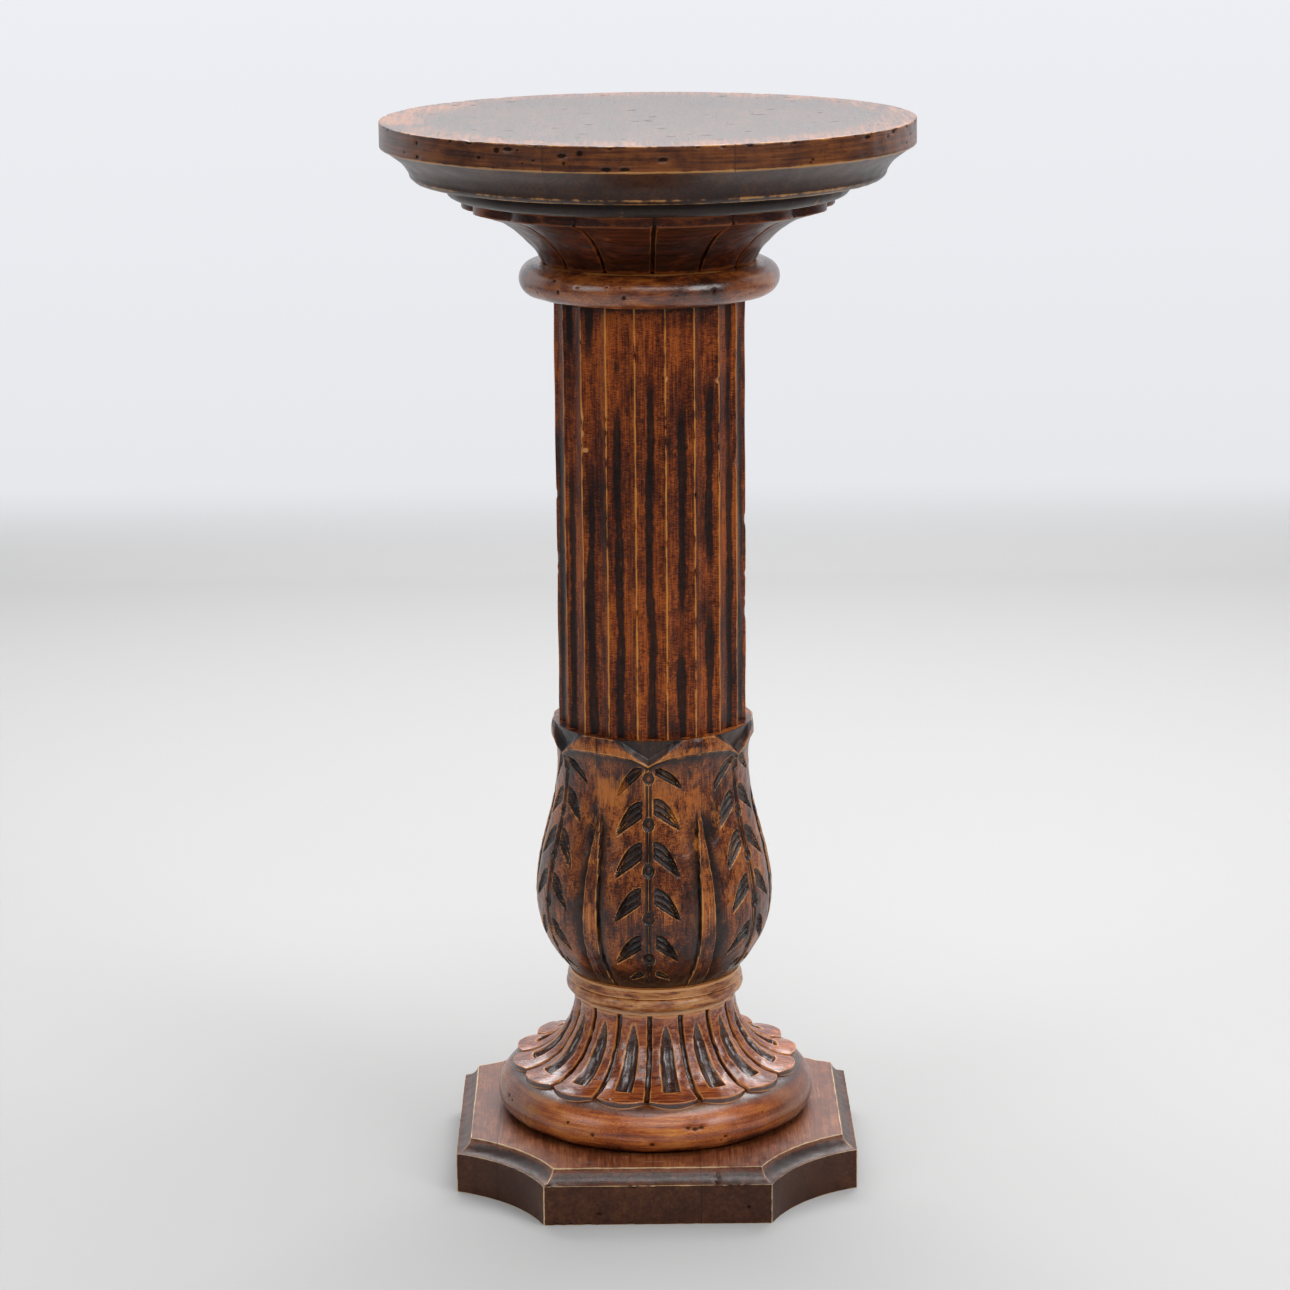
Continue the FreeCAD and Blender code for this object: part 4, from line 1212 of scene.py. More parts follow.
@dataclass
class LeafBulb:
    """The carved swelling: six leaves with a rolled lip, six stems with nodes and leaflets, and six ribs."""
    leaves: int = 6
    turn: float = -3.1
    foot_radius: float = 58.5
    belly_radius: float = 82.7
    belly_height: float = 55.5
    fullness: float = 2.3
    waist_radius: float = 66.6
    waist_height: float = 151.5
    top_radius: float = 69.2
    columns: int = 112
    row_spacing: float = 0.74
    lip_dip: float = 18.2
    lip_rise: float = 8.4
    notch_foot: float = 16.5
    notch_slope: float = 0.72
    seams: Seams = Seams((-36.0, 36.0), -3.1)
    rubbed: tuple[Patch, ...] = (
        (-26, 284, 12, 14, 0.85), (-36, 262, 6, 12, 0.55), (12, 271, 5, 12, 0.5), (24, 250, 4, 20, 0.4),
        (-22, 225, 8, 18, 0.35), (-8, 300, 5, 4, 0.4), (38, 262, 6, 16, 0.55), (95, 275, 9, 14, 0.7),
        (160, 268, 9, 16, 0.7), (-98, 272, 9, 16, 0.8), (-150, 282, 8, 12, 0.6), (200, 240, 8, 18, 0.4))
    nodes: tuple[float, ...] = (294.5, 262.6, 231.9, 199.0, 168.4)
    right: tuple[Leaflet, ...] = (
        Leaflet((3.9, 302.3), (25.0, 284.9), 4.6), Leaflet((3.1, 280.8), (22.9, 257.2), 11.0),
        Leaflet((3.1, 251.8), (22.9, 225.7), 11.0), Leaflet((3.8, 220.7), (23.5, 196.0), 11.0),
        Leaflet((4.3, 187.9), (21.8, 164.9), 10.2), Leaflet((4.0, 158.8), (15.0, 149.6), 4.6))
    left: tuple[Leaflet, ...] = (
        Leaflet((4.0, 302.9), (23.8, 278.8), 4.6), Leaflet((4.1, 278.7), (24.0, 253.1), 11.0),
        Leaflet((4.1, 251.1), (24.9, 224.6), 11.0), Leaflet((4.7, 220.7), (25.0, 194.8), 11.0),
        Leaflet((4.9, 187.1), (24.5, 162.5), 10.2), Leaflet((4.0, 158.2), (15.0, 149.2), 4.6))

    def swelling(self, height: Array) -> Array:
        """The turned blank's form.

        Args:
            height: heights above the foot.

        Returns:
            Its radius there.
        """
        below = self.foot_radius + (self.belly_radius - self.foot_radius) * (
            1 - np.clip(1 - height / self.belly_height, 0, 1) ** self.fullness)
        share = np.clip((height - self.belly_height) / (self.waist_height - self.belly_height), 0, 1)
        above = blend(self.belly_radius, self.waist_radius, (1 - np.cos(np.pi * share)) / 2)
        return np.where(height < self.belly_height, below, above)

    def crest_line(self, aside: Array, top: float) -> Array:
        """The height of the lip's crest, which is lowest over the stems."""
        return top - self.lip_dip + self.lip_rise * (1 - np.exp(-aside / 10.0))

    def notch_edge(self, aside: Array, height: Array, top: float) -> Array:
        """How far outside the V over each stem a place lies, measured square to the V's arms."""
        return (top - self.notch_foot + self.notch_slope * aside - height) * 0.81 + 3.0

    def lip(self, aside: Array, height: Array, top: float, base: Array) -> Array:
        """The surface near the top: blank, rolled lip and the V over each stem.

        Args:
            aside: millimetres beside the nearest stem.
            height: the heights.
            top: the height of the bulb's top.
            base: the blank's radius.

        Returns:
            The surface's radius.
        """
        crest_line = self.crest_line(aside, top)
        crest = base + 4.2 - 0.9 * np.exp(-(aside / 5.0) ** 2)
        swell = (crest - base) * (1 - np.clip((crest_line - height) / 19.0, 0, 1)) ** 2.2
        band = crest - (crest - self.top_radius) * np.clip((height - crest_line) / (top - crest_line), 0, 1) ** 2
        under = base + 0.72 * swell + 0.28 * swell * rise(1.4, 0.2, crest_line - height)
        surface = np.where(height < crest_line, under, band)
        floor = 66.0 + 3.0 * np.clip((height - top + self.notch_foot) / self.notch_foot, 0, 1)
        edge = self.notch_edge(aside, height, top)
        bevelled = floor + np.maximum(edge, 0) * 1.15
        surface = surface + 0.9 * np.exp(-((edge - 4.4) / 1.6) ** 2) * rise(top - 22, top - 14, height)
        return np.where(height > top - 22, np.minimum(surface, bevelled), surface)

    def carve(self, work: Workpiece, low: float, top: float, side: Array) -> tuple[Array, Array, Array]:
        """Carves the leaves, the stems and the ribs.

        Args:
            work: the turned blank.
            low: the height of its foot.
            top: the height of its top.
            side: whether each vertex is on the outside.

        Returns:
            For each vertex the surface's radius, how much glaze and painted shade lie there, and how little its crests
            are rubbed.
        """
        height = np.where(side, work.height, low)
        base = self.swelling(height - low)
        beside = work.from_centre(self.leaves, self.turn)
        aside = np.radians(np.abs(beside)) * base
        radius = self.lip(aside, height, top, base)
        half = 180.0 / self.leaves
        leaf = np.floor((work.azimuth - self.turn + half) / (2 * half)) % self.leaves
        draw = np.random.default_rng(17)
        shift = np.where(leaf == 0, 0.0, draw.uniform(-1.0, 1.0, self.leaves)[leaf.astype(int)])
        moved = height + shift
        cut, stain, spared = (np.zeros(len(height)) for _ in range(3))
        for leaflets, there in ((self.right, beside >= 0), (self.left, beside < 0)):
            for leaflet in leaflets:
                level, cover = leaflet.cover(aside, moved)
                cover = np.where(there, cover, 0.0)
                cut = np.maximum(cut, 2.1 * leaflet.profile(level) * cover)
                stain = np.maximum(stain, rise(0.1, 0.6, cover) * (0.4 + 0.6 * leaflet.profile(level)))
                spared = np.maximum(spared, 0.8 * rise(0.1, 0.5, cover))
        stem = np.clip(1 - (aside / 2.4) ** 2, 0, 1) ** 0.6 * 1.5 - 0.9 * np.exp(-(aside / 0.55) ** 2)
        on_stem = rise(low + 6, low + 12, height) * (1 - rise(top - 20, top - 18, height))
        stem *= on_stem
        beads = np.zeros(len(height))
        for node in self.nodes:
            oval = (aside / 4.0) ** 2 + ((moved - node) / 5.2) ** 2
            stem = np.where(oval < 1, 2.6 * np.clip(1 - oval, 0, 1) ** 0.5 - 1.5 * np.exp(-oval / 0.16), stem)
            stain = np.maximum(stain, (1 - rise(0.75, 1.1, oval)) * rise(0.1, 0.3, oval))
            spared = np.maximum(spared, 0.7 * (1 - rise(0.7, 1.0, oval)))
            beads = np.maximum(beads, 1 - rise(0.08, 0.26, oval))
        cut = np.maximum(cut, stem)
        notch = (1 - rise(2.2, 4.2, self.notch_edge(aside, height, top))) * (height > top - 22)
        stain, spared = np.maximum(stain, 0.75 * notch), np.maximum(spared, notch)
        stain = np.maximum(stain, 0.95 * np.exp(-(aside / 1.9) ** 4) * on_stem * (1 - beads))
        spared = np.maximum(spared, 0.45 * np.exp(-(aside / 4.0) ** 4))

        # Ribs half way between the stems, with a soft valley along each side
        from_rib = np.radians(half - np.abs(beside)) * base
        width = np.interp(moved, (low, 190, 216, 235, 250, 262, 272), (6.0, 5.3, 5.0, 3.6, 2.2, 1.2, 0.5))
        deep = 2.8 * (1 - rise(255, 276, moved)) * blend(0.55, 1.0, rise(low, low + 16, height))
        outside = np.maximum(np.abs(from_rib) - width, 0)
        valley = deep * np.exp(-outside / 4.2) * rise(-0.05, 0.9, outside)
        crown = -0.35 * np.exp(-(from_rib / 0.6) ** 2) * (1 - rise(255, 270, moved))
        # Painted shade in the valleys beside the ribs and under the lip, and darker towards the foot, with the glaze in
        # the carving and near the stems
        under_lip = self.crest_line(aside, top) - height
        painted_shade_beside_rib = 0.85 * deep / 2.8 * np.exp(-outside / 6.5) * (outside > 0)
        painted_shade_below_lip = 0.85 * np.exp(-np.maximum(under_lip, 0) / 6.0) * (under_lip > 0)
        at_foot = 0.65 * (1 - rise(low + 4, low + 30, height))
        glaze_and_shade = np.maximum.reduce([stain, painted_shade_beside_rib, painted_shade_below_lip, at_foot, 0.3 * np.exp(-aside / 5.0)])
        return radius - cut - valley - crown, np.where(side, glaze_and_shade, 0.0), spared

    def build(self) -> None:
        """Makes the bulb and its three boards."""
        low, top = levels("bulb_board_middle")
        outline = Outline(low).line(self.foot_radius, low, 12.0)
        first = outline.row
        outline.line(self.top_radius, top, self.row_spacing)
        last = outline.row
        outline.line(60.0, top, 1.4).line(0, top, 20.0)
        work = Workpiece("leaf_bulb", outline.turned(self.leaves * self.columns), self.turn)
        side = work.between(first, last)
        carved, glaze_and_shade, spared = self.carve(work, low, top, side)
        work.radius = np.where(side, carved, work.radius)
        work.settle()
        shown = side & (work.row > first + 1) & (work.row < last - 1)
        work.push(np.where(shown, 0.14 * ripple(work.points, 8.0, 51) + 0.16 * ripple(work.points, 22.0, 52) - 0.1, 0))
        work.note_wear(fine=0.19, broad=0.5, rounds=(2, 30), glaze_and_shade=glaze_and_shade, spared=spared)
        # A painted highlight along the lip's roll, laid with the rubbed patches
        lip = 0.5 * rise(top - 15, top - 11, work.height) * (1 - rise(top - 7, top - 3, work.height)) * (1 - spared)
        work.note("rub_and_highlight", np.where(side, np.maximum(work.patches(self.rubbed), lip), 0.0))
        work.note("mark", work.knock(scattered_marks(40, 53, 76.0, low + 20, top - 30, (0.7, 1.8), (0.2, 0.7))) * 0.5)
        finish = replace(STEM_FINISH, name="leaf_bulb_glazed_lacquer", streak=2.6, streak_length=30.0,
                         blotch=24.0, seams=self.seams, wear_starts=0.5, spread=0.062, specular=0.5,
                         roughness=0.31, glaze_from=0.06, dark="220c05", middle="6a2e10", light="b26428",
                         chatter=0.16)
        present_boards(work, self.seams, "bulb_board", finish)


@dataclass
class Shaft:
    """The straight shaft with flutes that meet at sharp, nicked arrises."""
    arris_radius: float = 66.0
    flutes: int = 20
    flute_depth: float = 3.8
    turn: float = -0.3
    columns: int = 20
    row_spacing: float = 1.35
    nicks: tuple[Point, ...] = (
        (8.7, 570.3), (8.7, 536.9), (-9.3, 585.0), (-9.3, 468.2), (-27.3, 541.6), (-27.3, 532.6), (-45.3, 537.3),
        (-45.3, 522.0), (44.7, 565.8), (44.7, 519.7), (44.7, 500.5), (62.7, 580.9), (62.7, 533.4), (62.7, 505.7))
    chips: tuple[Patch, ...] = (
        (-43.0, 518.5, 1.5, 1.6, 1.5), (-44.8, 541.0, 0.9, 6.0, 1.2), (-44.4, 530.0, 0.9, 3.0, 1.2),
        (9.4, 569.0, 1.3, 2.0, 1.0), (43.6, 565.0, 1.0, 2.0, 1.0))

    def build(self) -> None:
        """Makes the shaft."""
        low, high = levels("shaft")
        outline = Outline(low).line(self.arris_radius, low, 15.0)
        first = outline.row
        outline.line(self.arris_radius, high, self.row_spacing)
        last = outline.row
        outline.line(0, high, 15.0)
        work = Workpiece("shaft", outline.turned(self.flutes * self.columns), self.turn)
        work.gather_columns(self.flutes, self.turn, 0.5)
        half = 180.0 / self.flutes
        beside = work.from_centre(self.flutes, self.turn)
        share = np.abs(beside) / half
        flute = self.arris_radius - self.flute_depth * (1 - share ** 2)
        arris = np.radians(half - np.abs(beside)) * self.arris_radius
        flute -= 0.35 * np.exp(-(arris / 0.7) ** 2)
        side = work.between(first, last)
        work.radius = np.where(side, flute, work.radius * (self.arris_radius - self.flute_depth) / self.arris_radius)
        work.settle()
        shown = side & (work.row > first) & (work.row < last)
        upright = work.points * (1, 1, 0.12)
        chatter = ripple(work.points * (0.3, 0.3, 1), 3.4, 61) * (1 - share ** 2)
        work.push(np.where(shown, 0.22 * ripple(upright, 5.0, 62) + 0.09 * chatter - 0.2, 0))
        draw = np.random.default_rng(63)
        places = list(self.nicks)
        for _ in range(120):
            azimuth = self.turn + half + 2 * half * int(draw.integers(0, self.flutes))
            if abs((azimuth + 180) % 360 - 180) > 64 or draw.uniform() < 0.25:
                places.append((azimuth, draw.uniform(low + 8, high - 8)))
        # A dark streak down each flute: glaze along its deepest part, with painted shade, whose place across the flute
        # moves from left to right round the front; it is strongest low down and in patches near the top
        lane = np.round((work.azimuth - self.turn) / (2 * half))
        track = np.column_stack([work.height, lane * 300.0, np.zeros(len(lane))])
        middle = blend(-0.45, 0.35, np.clip((work.azimuth + 40) / 80, 0, 1)) + 0.07 * ripple(track, 70.0, 64)
        width = np.maximum(0.28 + 0.05 * ripple(track, 80.0, 65) + 0.04 * ripple(track, 6.0, 68), 0.08)
        strength = np.clip(1.3 + 0.6 * ripple(track, 120.0, 66) - 0.95 * rise(440, 570, work.height), 0, 1)
        near_top = rise(high - 70, high - 20, work.height)
        strength = np.maximum(strength, near_top * np.clip(ripple(track, 50.0, 69), 0, 1))
        band = np.exp(-np.abs((beside / half - middle) / width) ** 4) * strength
        # Painted shade under the neck ring, along the shaft's top
        shade = 0.8 * rise(high - 9, high - 1, work.height)
        inside = np.zeros(len(work.points))
        for group in range(4):
            inside = np.maximum(inside, work.knock(marks_at(places[group::4], self.arris_radius - 0.4,
                                                            (1.5, (1.6, 2.4, 3.4, 1.2)[group]),
                                                            (0.9, 1.3, 1.1, 0.7)[group])))
        rubbed = np.clip(1.25 + 0.5 * ripple(track + lane[:, None] * 7.0, 13.0, 67), 0.2, 1.3)
        work.note("crest", np.where(side, rubbed * np.exp(-(arris / 0.7) ** 2), 0))
        work.note("hollow", np.maximum(band, shade))
        work.note("rub_and_highlight", np.where(side, work.patches(self.chips), 0))
        work.note("mark", inside * 0.8)
        finish = replace(STEM_FINISH, name="shaft_glazed_lacquer", streak=1.6, streak_length=40.0, seed=7.3,
                         wear_starts=0.42, spread=0.085, glaze_from=0.25, dark="280d05", middle="682a0d",
                         light="ac561c", worn="d08c3e", rubbed="e0985a", chatter=0.26, wear=0.85)
        present(work.mesh, "shaft_wood", finish, "shaft")


@dataclass
class NeckRing:
    """The half-round ring under the capital."""
    flat_radius: float = 77.25
    radius: float = 88.5
    columns: int = 440
    dents: tuple[Point, ...] = ((-32.2, 637.4), (-43.5, 628.1), (-11.3, 627.0), (28.9, 629.7), (49.8, 624.5))

    def build(self) -> None:
        """Makes the ring."""
        low, high = levels("neck_ring")
        outline = Outline(low).line(self.flat_radius, low, 10.0)
        outline.arc((self.radius, (low + high) / 2), (self.flat_radius, high), 44).line(0, high, 15.0)
        work = Workpiece("neck_ring", outline.turned(self.columns))
        work.waver(0.18, 24.0, 71, rise(76, 79, work.radius))
        marks = marks_at(self.dents, self.radius, (1.5, 1.8), 0.9)
        marks += scattered_marks(26, 72, self.radius - 1, low + 3, high - 3, (0.8, 1.8), (0.3, 0.8))
        work.note_wear(fine=0.4, broad=0.6)
        work.note("mark", work.knock(marks))
        finish = replace(STEM_FINISH, name="neck_ring_lacquer", grain=Grain.ACROSS, seed=1.4, roughness=0.23,
                         specular=1.0, round_from=60.0, streak=3.0, streak_length=40.0, spread=0.075)
        present(work.mesh, "neck_ring_wood", finish, "neck_ring")


@dataclass
class Capital:
    """The bell of 14 petals parted by grooves and cut square at the rim."""
    petals: Petals = Petals(14, 1.4 + 180.0 / 14, 126.0, 119.0)
    foot_radius: float = 72.5
    rim_height: float = 7.3
    groove_width: float = 2.8
    groove_depth: float = 2.2
    bell: tuple[Point, ...] = ((0.07, 0.19), (0.145, 0.31), (0.22, 0.42), (0.31, 0.54), (0.43, 0.67), (0.64, 0.84),
                               (1.0, 1.0))
    columns: int = 40
    rows: int = 66

    def build(self) -> None:
        """Makes the capital."""
        low, high = levels("capital")
        rim = high - self.rim_height
        spread = self.petals.tip - self.foot_radius
        knots = [(self.foot_radius + spread * out, low + (rim - low) * up) for out, up in self.bell]
        outline = Outline(low).line(self.foot_radius, low, 12.0)
        first = outline.row
        outline.curve(knots, self.rows)
        last = outline.row
        outline.line(self.petals.tip, high, 0.6)
        top = outline.row
        outline.line(0, high, 25.0)
        path = np.array(outline.points)
        work = Workpiece("capital", outline.turned(self.petals.count * self.columns), self.petals.turn)
        work.gather_columns(self.petals.count, self.petals.turn, 0.6)
        beside, row = work.from_centre(self.petals.count, self.petals.turn), work.row
        reach = self.petals.reach(beside)
        radius, height, step_r, step_z = drawn_to(reach, path, first, last, row)
        out_r, out_z = step_z, -step_r
        half = 180.0 / self.petals.count
        from_groove = np.radians(half - np.abs(beside)) * radius
        cut = -self.groove_depth * (1 - rise(self.groove_width / 2 - 0.7, self.groove_width / 2 + 0.1, from_groove))
        cut -= 1.1 * (np.abs(beside) / half) ** 2.6
        bell_rows = work.between(first, last)
        rim_rows = (row > last) & (row <= top)
        share = np.clip((row - last) / (top - last), 0, 1)
        at_rim_r, at_rim_z = radius + cut * out_r, height + cut * out_z
        work.radius = np.where(bell_rows, at_rim_r, np.where(
            rim_rows, blend(at_rim_r, reach, np.clip(share * 3, 0, 1)), np.minimum(work.radius, reach)))
        work.height = np.where(bell_rows, at_rim_z, np.where(rim_rows, blend(at_rim_z, high, share), work.height))
        work.settle()
        shown = bell_rows & (row > first + 1)
        work.waver(0.14, 9.0, 81, shown)
        work.note_wear(fine=0.16, broad=0.7)
        finish = replace(RED_FINISH, name="capital_dark_lacquer", dark="1d0b05", middle="3f190a", light="6b3014",
                         worn="8a4a20", seed=9.4, specular=0.3)
        present(work.mesh, "capital_wood", finish, "capital")


@dataclass
class RoundTop:
    """The round slab with a square edge, a moulding and a smaller step below it."""
    radius: float = 180.0
    edge_height: float = 17.5
    easing: float = 1.0
    moulding_width: float = 23.0
    moulding_foot: float = 11.5
    moulding: tuple[Point, ...] = ((0.13, 0.12), (0.19, 0.3), (0.41, 0.6), (0.92, 1.0))
    foot_radius: float = 130.5
    step: Point = (6.5, 7.0)
    columns: int = 720
    seams: Seams = Seams((-42.0, 78.0), -8.5)
    dashes: tuple[Point, ...] = (
        (-133, 95), (-146, 31), (-95, 115), (-114, -70), (-95, -115), (-76, -49), (-67, -50), (-55, 4), (-57, 61),
        (-43, -104), (-42, 31), (-30, 155), (-8, -26), (3, 3), (9, -72), (-16, -138), (39, 12), (54, -52),
        (64, -97), (84, 46), (76, 11), (118, 35), (109, -45), (123, -38), (54, 142), (133, 93), (14, -124),
        (45, -144))
    nicks: tuple[Point, ...] = ((-39.6, 735.2), (-29.8, 732.5), (-17.9, 729.5), (-8.8, 721.3), (-5.0, 721.3),
                                (2.6, 727.4), (2.6, 717.0), (51.1, 733.4), (61.9, 734.0))

    def build(self) -> None:
        """Makes the top and its three boards."""
        low, high = levels("top_board_middle")
        edge, foot = high - self.edge_height, low + self.moulding_foot
        step, inner = self.foot_radius + self.step[0], self.radius - self.moulding_width
        outline = Outline(low).line(self.foot_radius, low, 25.0).round_out(step, low + self.step[1], 14)
        outline.line(step, foot, 0.9).line(inner, foot, 2.4)
        knots = [(inner + self.moulding_width * out, foot + (edge - foot) * up) for out, up in self.moulding]
        outline.curve(knots, 34)
        outline.arc((self.radius - 0.5, edge + 0.3), (self.radius, edge + self.easing), 3)
        outline.line(self.radius, high - self.easing, 0.9)
        slant = self.easing * (1 - math.sqrt(0.5))
        outline.arc((self.radius - slant, high - slant), (self.radius - self.easing, high), 4)
        outline.line(self.radius - 6.0, high, 0.8).line(0, high, 1.7)
        work = Workpiece("round_top", outline.turned(self.columns))
        shown = rise(128, 133, work.radius) * rise(low + 0.5, low + 2, work.height)
        work.waver(0.1, 13.0, 91, shown * (1 - rise(high - 1.2, high - 0.2, work.height)))
        draw = np.random.default_rng(92)
        marks = []
        for x, y in list(self.dashes) + [tuple(draw.uniform(-130, 130, 2)) for _ in range(18)]:
            wide, deep = draw.uniform(1.2, 2.8), draw.uniform(0.8, 1.5)
            marks.append(((x, y, high), (wide * 1.5, deep * 1.7, 1.0), 0.45))
        marks += [((3.0, 3.0, high), (3.6, 3.0, 1.0), 0.5), ((76.0, 11.0, high), (4.2, 1.6, 1.0), 0.45)]
        marks += marks_at(self.nicks, self.radius, (3.4, 1.5), 1.1)
        marks += scattered_marks(70, 93, self.radius, high - 1.0, high + 0.2, (0.8, 2.2), (0.3, 0.9))
        marks += scattered_marks(50, 94, self.radius, edge + 2, high - 2, (0.8, 2.6), (0.2, 0.6))
        work.note_wear(fine=0.14, broad=0.6, rounds=(3, 26))
        work.note("mark", work.knock(marks))
        # Its zones: a darker middle of the face, painted shade on the moulding under the edge, which is duller too, and
        # a warmer, duller edge band
        finish = replace(TOP_FINISH, seams=self.seams,
                         zones=(Zone("2a1e1a", 168, 142, strength=0.8),
                                Zone("1f0f0a", 721, 717, along=Along.HEIGHT, strength=0.75, sheen=0.4),
                                Zone("4a2410", 178.2, 179.2, strength=0.25, sheen=0.6)))
        present_boards(work, self.seams, "top_board", finish)


# --- The parts inside, whose CAD meshes stay

def finish_inner_parts() -> None:
    """Gives the dowels and the screws their materials: matt pale wood, and metal with a dull shine."""
    beech = PlainFinish("bare_beech", "c9a06c", "a97c4b", 0.0, 0.6)
    steel = PlainFinish("plated_screw_steel", "a8a9a6", "8d8f8d", 1.0, 0.35)
    for name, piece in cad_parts.items():
        finish = steel if "screws" in name else beech if "dowel" in name else None
        if finish:
            piece.data.materials.clear()
            piece.data.materials.append(finish.material())
            LOG.info("%s keeps its CAD mesh, in %s", name, finish.name)


# --- The studio

@dataclass(frozen=True)
class Lamp:
    """A soft rectangular lamp aimed at a point, in metres and watts."""
    name: str
    place: tuple[float, float, float]
    aim: tuple[float, float, float]
    size: tuple[float, float]
    power: float
    colour: str = "ffffff"

    def hang(self) -> None:
        """Adds the lamp."""
        light = bpy.data.lights.new(self.name, "AREA")
        light.shape, light.size, light.size_y = "RECTANGLE", *self.size
        light.energy, light.color = self.power, linear(self.colour)[:3]
        lamp = bpy.data.objects.new(self.name, light)
        lamp.location = self.place
        lamp.rotation_euler = (Vector(self.aim) - Vector(self.place)).to_track_quat("-Z", "Y").to_euler()
        bpy.context.scene.collection.objects.link(lamp)


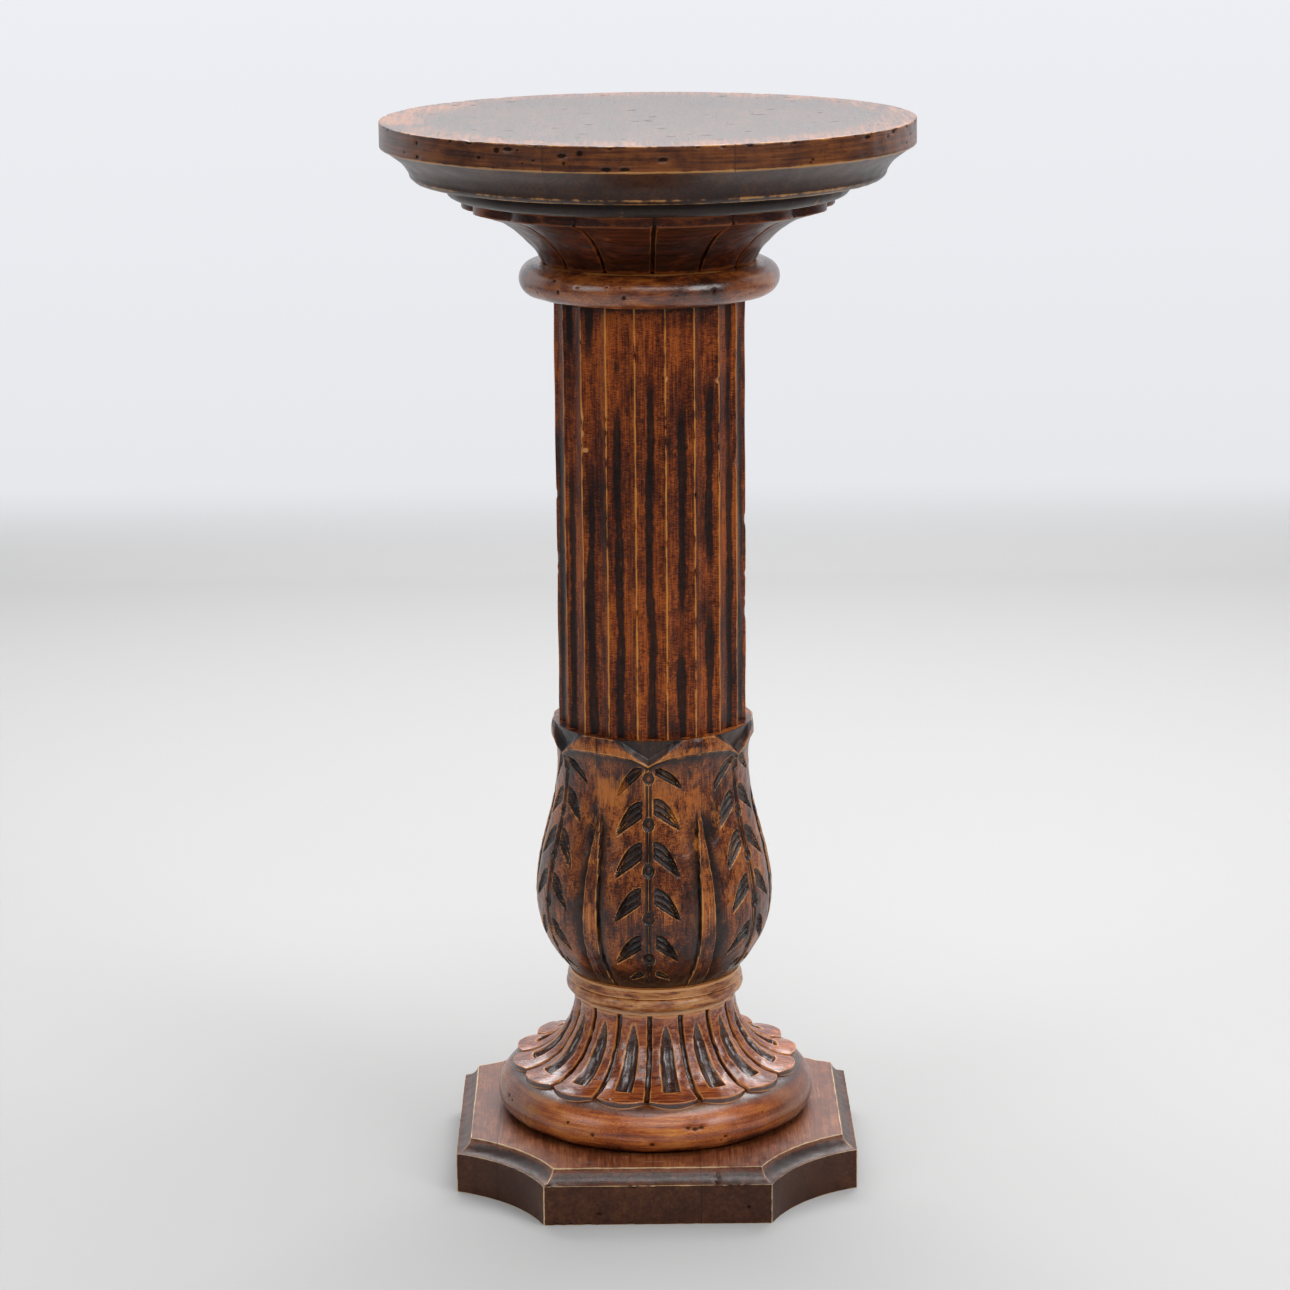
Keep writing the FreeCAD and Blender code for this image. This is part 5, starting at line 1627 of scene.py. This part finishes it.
@dataclass
class Studio:
    """A pale floor that rises into a pale wall, soft lamps and the camera."""
    wall_distance: float = 1.95
    bend: float = 0.12
    lamps: tuple[Lamp, ...] = (
        Lamp("softbox_above", (0.3, 0.1, 2.6), (0, 0, 0), (1.9, 1.9), 58.0),
        Lamp("softbox_right", (2.3, -2.0, 2.0), (0, 0, 0.4), (1.3, 1.3), 27.0),
        Lamp("softbox_front", (0.15, -2.5, 2.55), (0, 0, 0.4), (2.0, 1.2), 20.0),
        Lamp("softbox_left", (-2.6, -1.8, 1.8), (0, 0, 0.4), (1.3, 1.3), 14.0),
        Lamp("softbox_behind", (0.0, 1.7, 2.1), (0, 0, 0.7), (3.0, 1.1), 66.0))
    daylight: float = 0.16
    camera_place: tuple[float, float, float] = (-0.01666, -2.46470, 0.98327)
    camera_right: tuple[float, float, float] = (0.9999406, -0.00689443, -0.00844147)
    camera_up: tuple[float, float, float] = (0.00985282, 0.24067498, 0.97055576)
    focal_pixels: float = 3662.76
    frame_pixels: float = 1290.0

    def backdrop_material(self) -> bpy.types.Material:
        """Pale paint: it takes shadows, and the wall shows its own colour to the camera and in reflections.

        The sheet is clear from its back, so that the stand shows from behind the wall and from below the floor.

        Returns:
            The material.
        """
        material = bpy.data.materials.new("pale_backdrop")
        material.use_nodes = True
        tree = material.node_tree
        tree.nodes.clear()
        height = add_node(tree, "SeparateXYZ", {0: add_node(tree, "TexCoord").outputs["Object"]}).outputs[2]
        paint = add_node(tree, "BsdfDiffuse", {"Color": linear("bababa")})
        up = add_node(tree, "MapRange", {0: height, 1: 0.0, 2: 1.1}).outputs[0]
        wall = add_node(tree, "Mix", {0: up, 6: linear("e6e7eb"), 7: linear("f2f3f8")}, data_type="RGBA").outputs[2]
        glow = add_node(tree, "Emission", {"Color": wall, "Strength": 1.0})
        ray = add_node(tree, "LightPath").outputs
        seen = ray["Is Camera Ray"]
        for other in ("Is Glossy Ray", "Is Transmission Ray"):
            seen = add_node(tree, "Math", {0: seen, 1: ray[other]}, operation="MAXIMUM").outputs[0]
        on_wall = add_node(tree, "MapRange", {0: height, 1: 0.0, 2: 0.1}, interpolation_type="SMOOTHSTEP").outputs[0]
        share = add_node(tree, "Math", {0: seen, 1: on_wall}, operation="MULTIPLY").outputs[0]
        shader = add_node(tree, "MixShader", {0: share, 1: paint.outputs[0], 2: glow.outputs[0]})
        behind = add_node(tree, "Math", {0: add_node(tree, "NewGeometry").outputs["Backfacing"],
                                         1: ray["Is Camera Ray"]}, operation="MULTIPLY").outputs[0]
        clear = add_node(tree, "BsdfTransparent")
        shader = add_node(tree, "MixShader", {0: behind, 1: shader.outputs[0], 2: clear.outputs[0]})
        add_node(tree, "OutputMaterial", {"Surface": shader.outputs[0]})
        return material

    def backdrop(self) -> None:
        """A sheet from in front of the camera to the wall and up it, with a rounded bend."""
        form = bmesh.new()
        line = [form.verts.new((-7, y, z)) for y, z in ((-6, 0), (self.wall_distance, 0), (self.wall_distance, 5))]
        edges = [form.edges.new(pair) for pair in zip(line, line[1:])]
        made = bmesh.ops.extrude_edge_only(form, edges=edges)["geom"]
        bmesh.ops.translate(form, verts=[item for item in made if isinstance(item, bmesh.types.BMVert)], vec=(14, 0, 0))
        corner = [edge for edge in form.edges if all(abs(v.co.z) < 1e-6 and abs(v.co.y - self.wall_distance) < 1e-6
                                                     for v in edge.verts)]
        bmesh.ops.bevel(form, geom=corner, offset=self.bend, segments=12, profile=0.5, affect="EDGES", material=-1)
        mesh = bpy.data.meshes.new("backdrop")
        form.to_mesh(mesh)
        form.free()
        mesh.polygons.foreach_set("use_smooth", [True] * len(mesh.polygons))
        mesh.materials.append(self.backdrop_material())
        sheet = bpy.data.objects.new("backdrop", mesh)
        bpy.context.scene.collection.objects.link(sheet)

    def camera(self) -> None:
        """Sets the camera up as the photograph was taken."""
        lens = bpy.data.cameras.new("camera")
        lens.sensor_fit, lens.sensor_width = "HORIZONTAL", 36.0
        lens.lens = 36.0 * self.focal_pixels / self.frame_pixels
        camera = bpy.data.objects.new("camera", lens)
        right, up = Vector(self.camera_right).normalized(), Vector(self.camera_up).normalized()
        back = right.cross(up)
        turn = Matrix((right, up, back)).transposed()
        camera.matrix_world = Matrix.Translation(self.camera_place) @ turn.to_4x4()
        bpy.context.scene.collection.objects.link(camera)
        bpy.context.scene.camera = camera

    def build(self) -> None:
        """Sets up the whole studio."""
        scene = bpy.context.scene
        scene.view_settings.view_transform = "Standard"
        world = bpy.data.worlds.new("studio_daylight")
        scene.world = world
        world.use_nodes = True
        world.node_tree.nodes.clear()
        glow = add_node(world.node_tree, "Background", {"Color": linear("fbfcff"), "Strength": self.daylight})
        add_node(world.node_tree, "OutputWorld", {"Surface": glow.outputs[0]})
        for lamp in self.lamps:
            lamp.hang()
        self.backdrop()
        self.camera()


def main() -> None:
    """Builds the stand from the floor up, then the studio round it."""
    logging.basicConfig(level=logging.INFO, format="%(name)s: %(message)s")
    Studio().build()
    for piece in (Plinth(), BaseRing(), PetalSkirt(), Collar(), LeafBulb(), Shaft(), NeckRing(), Capital(), RoundTop()):
        LOG.info("building %s", type(piece).__name__)
        piece.build()
    finish_inner_parts()
    bpy.context.view_layer.update()


if __name__ == "__main__":
    main()
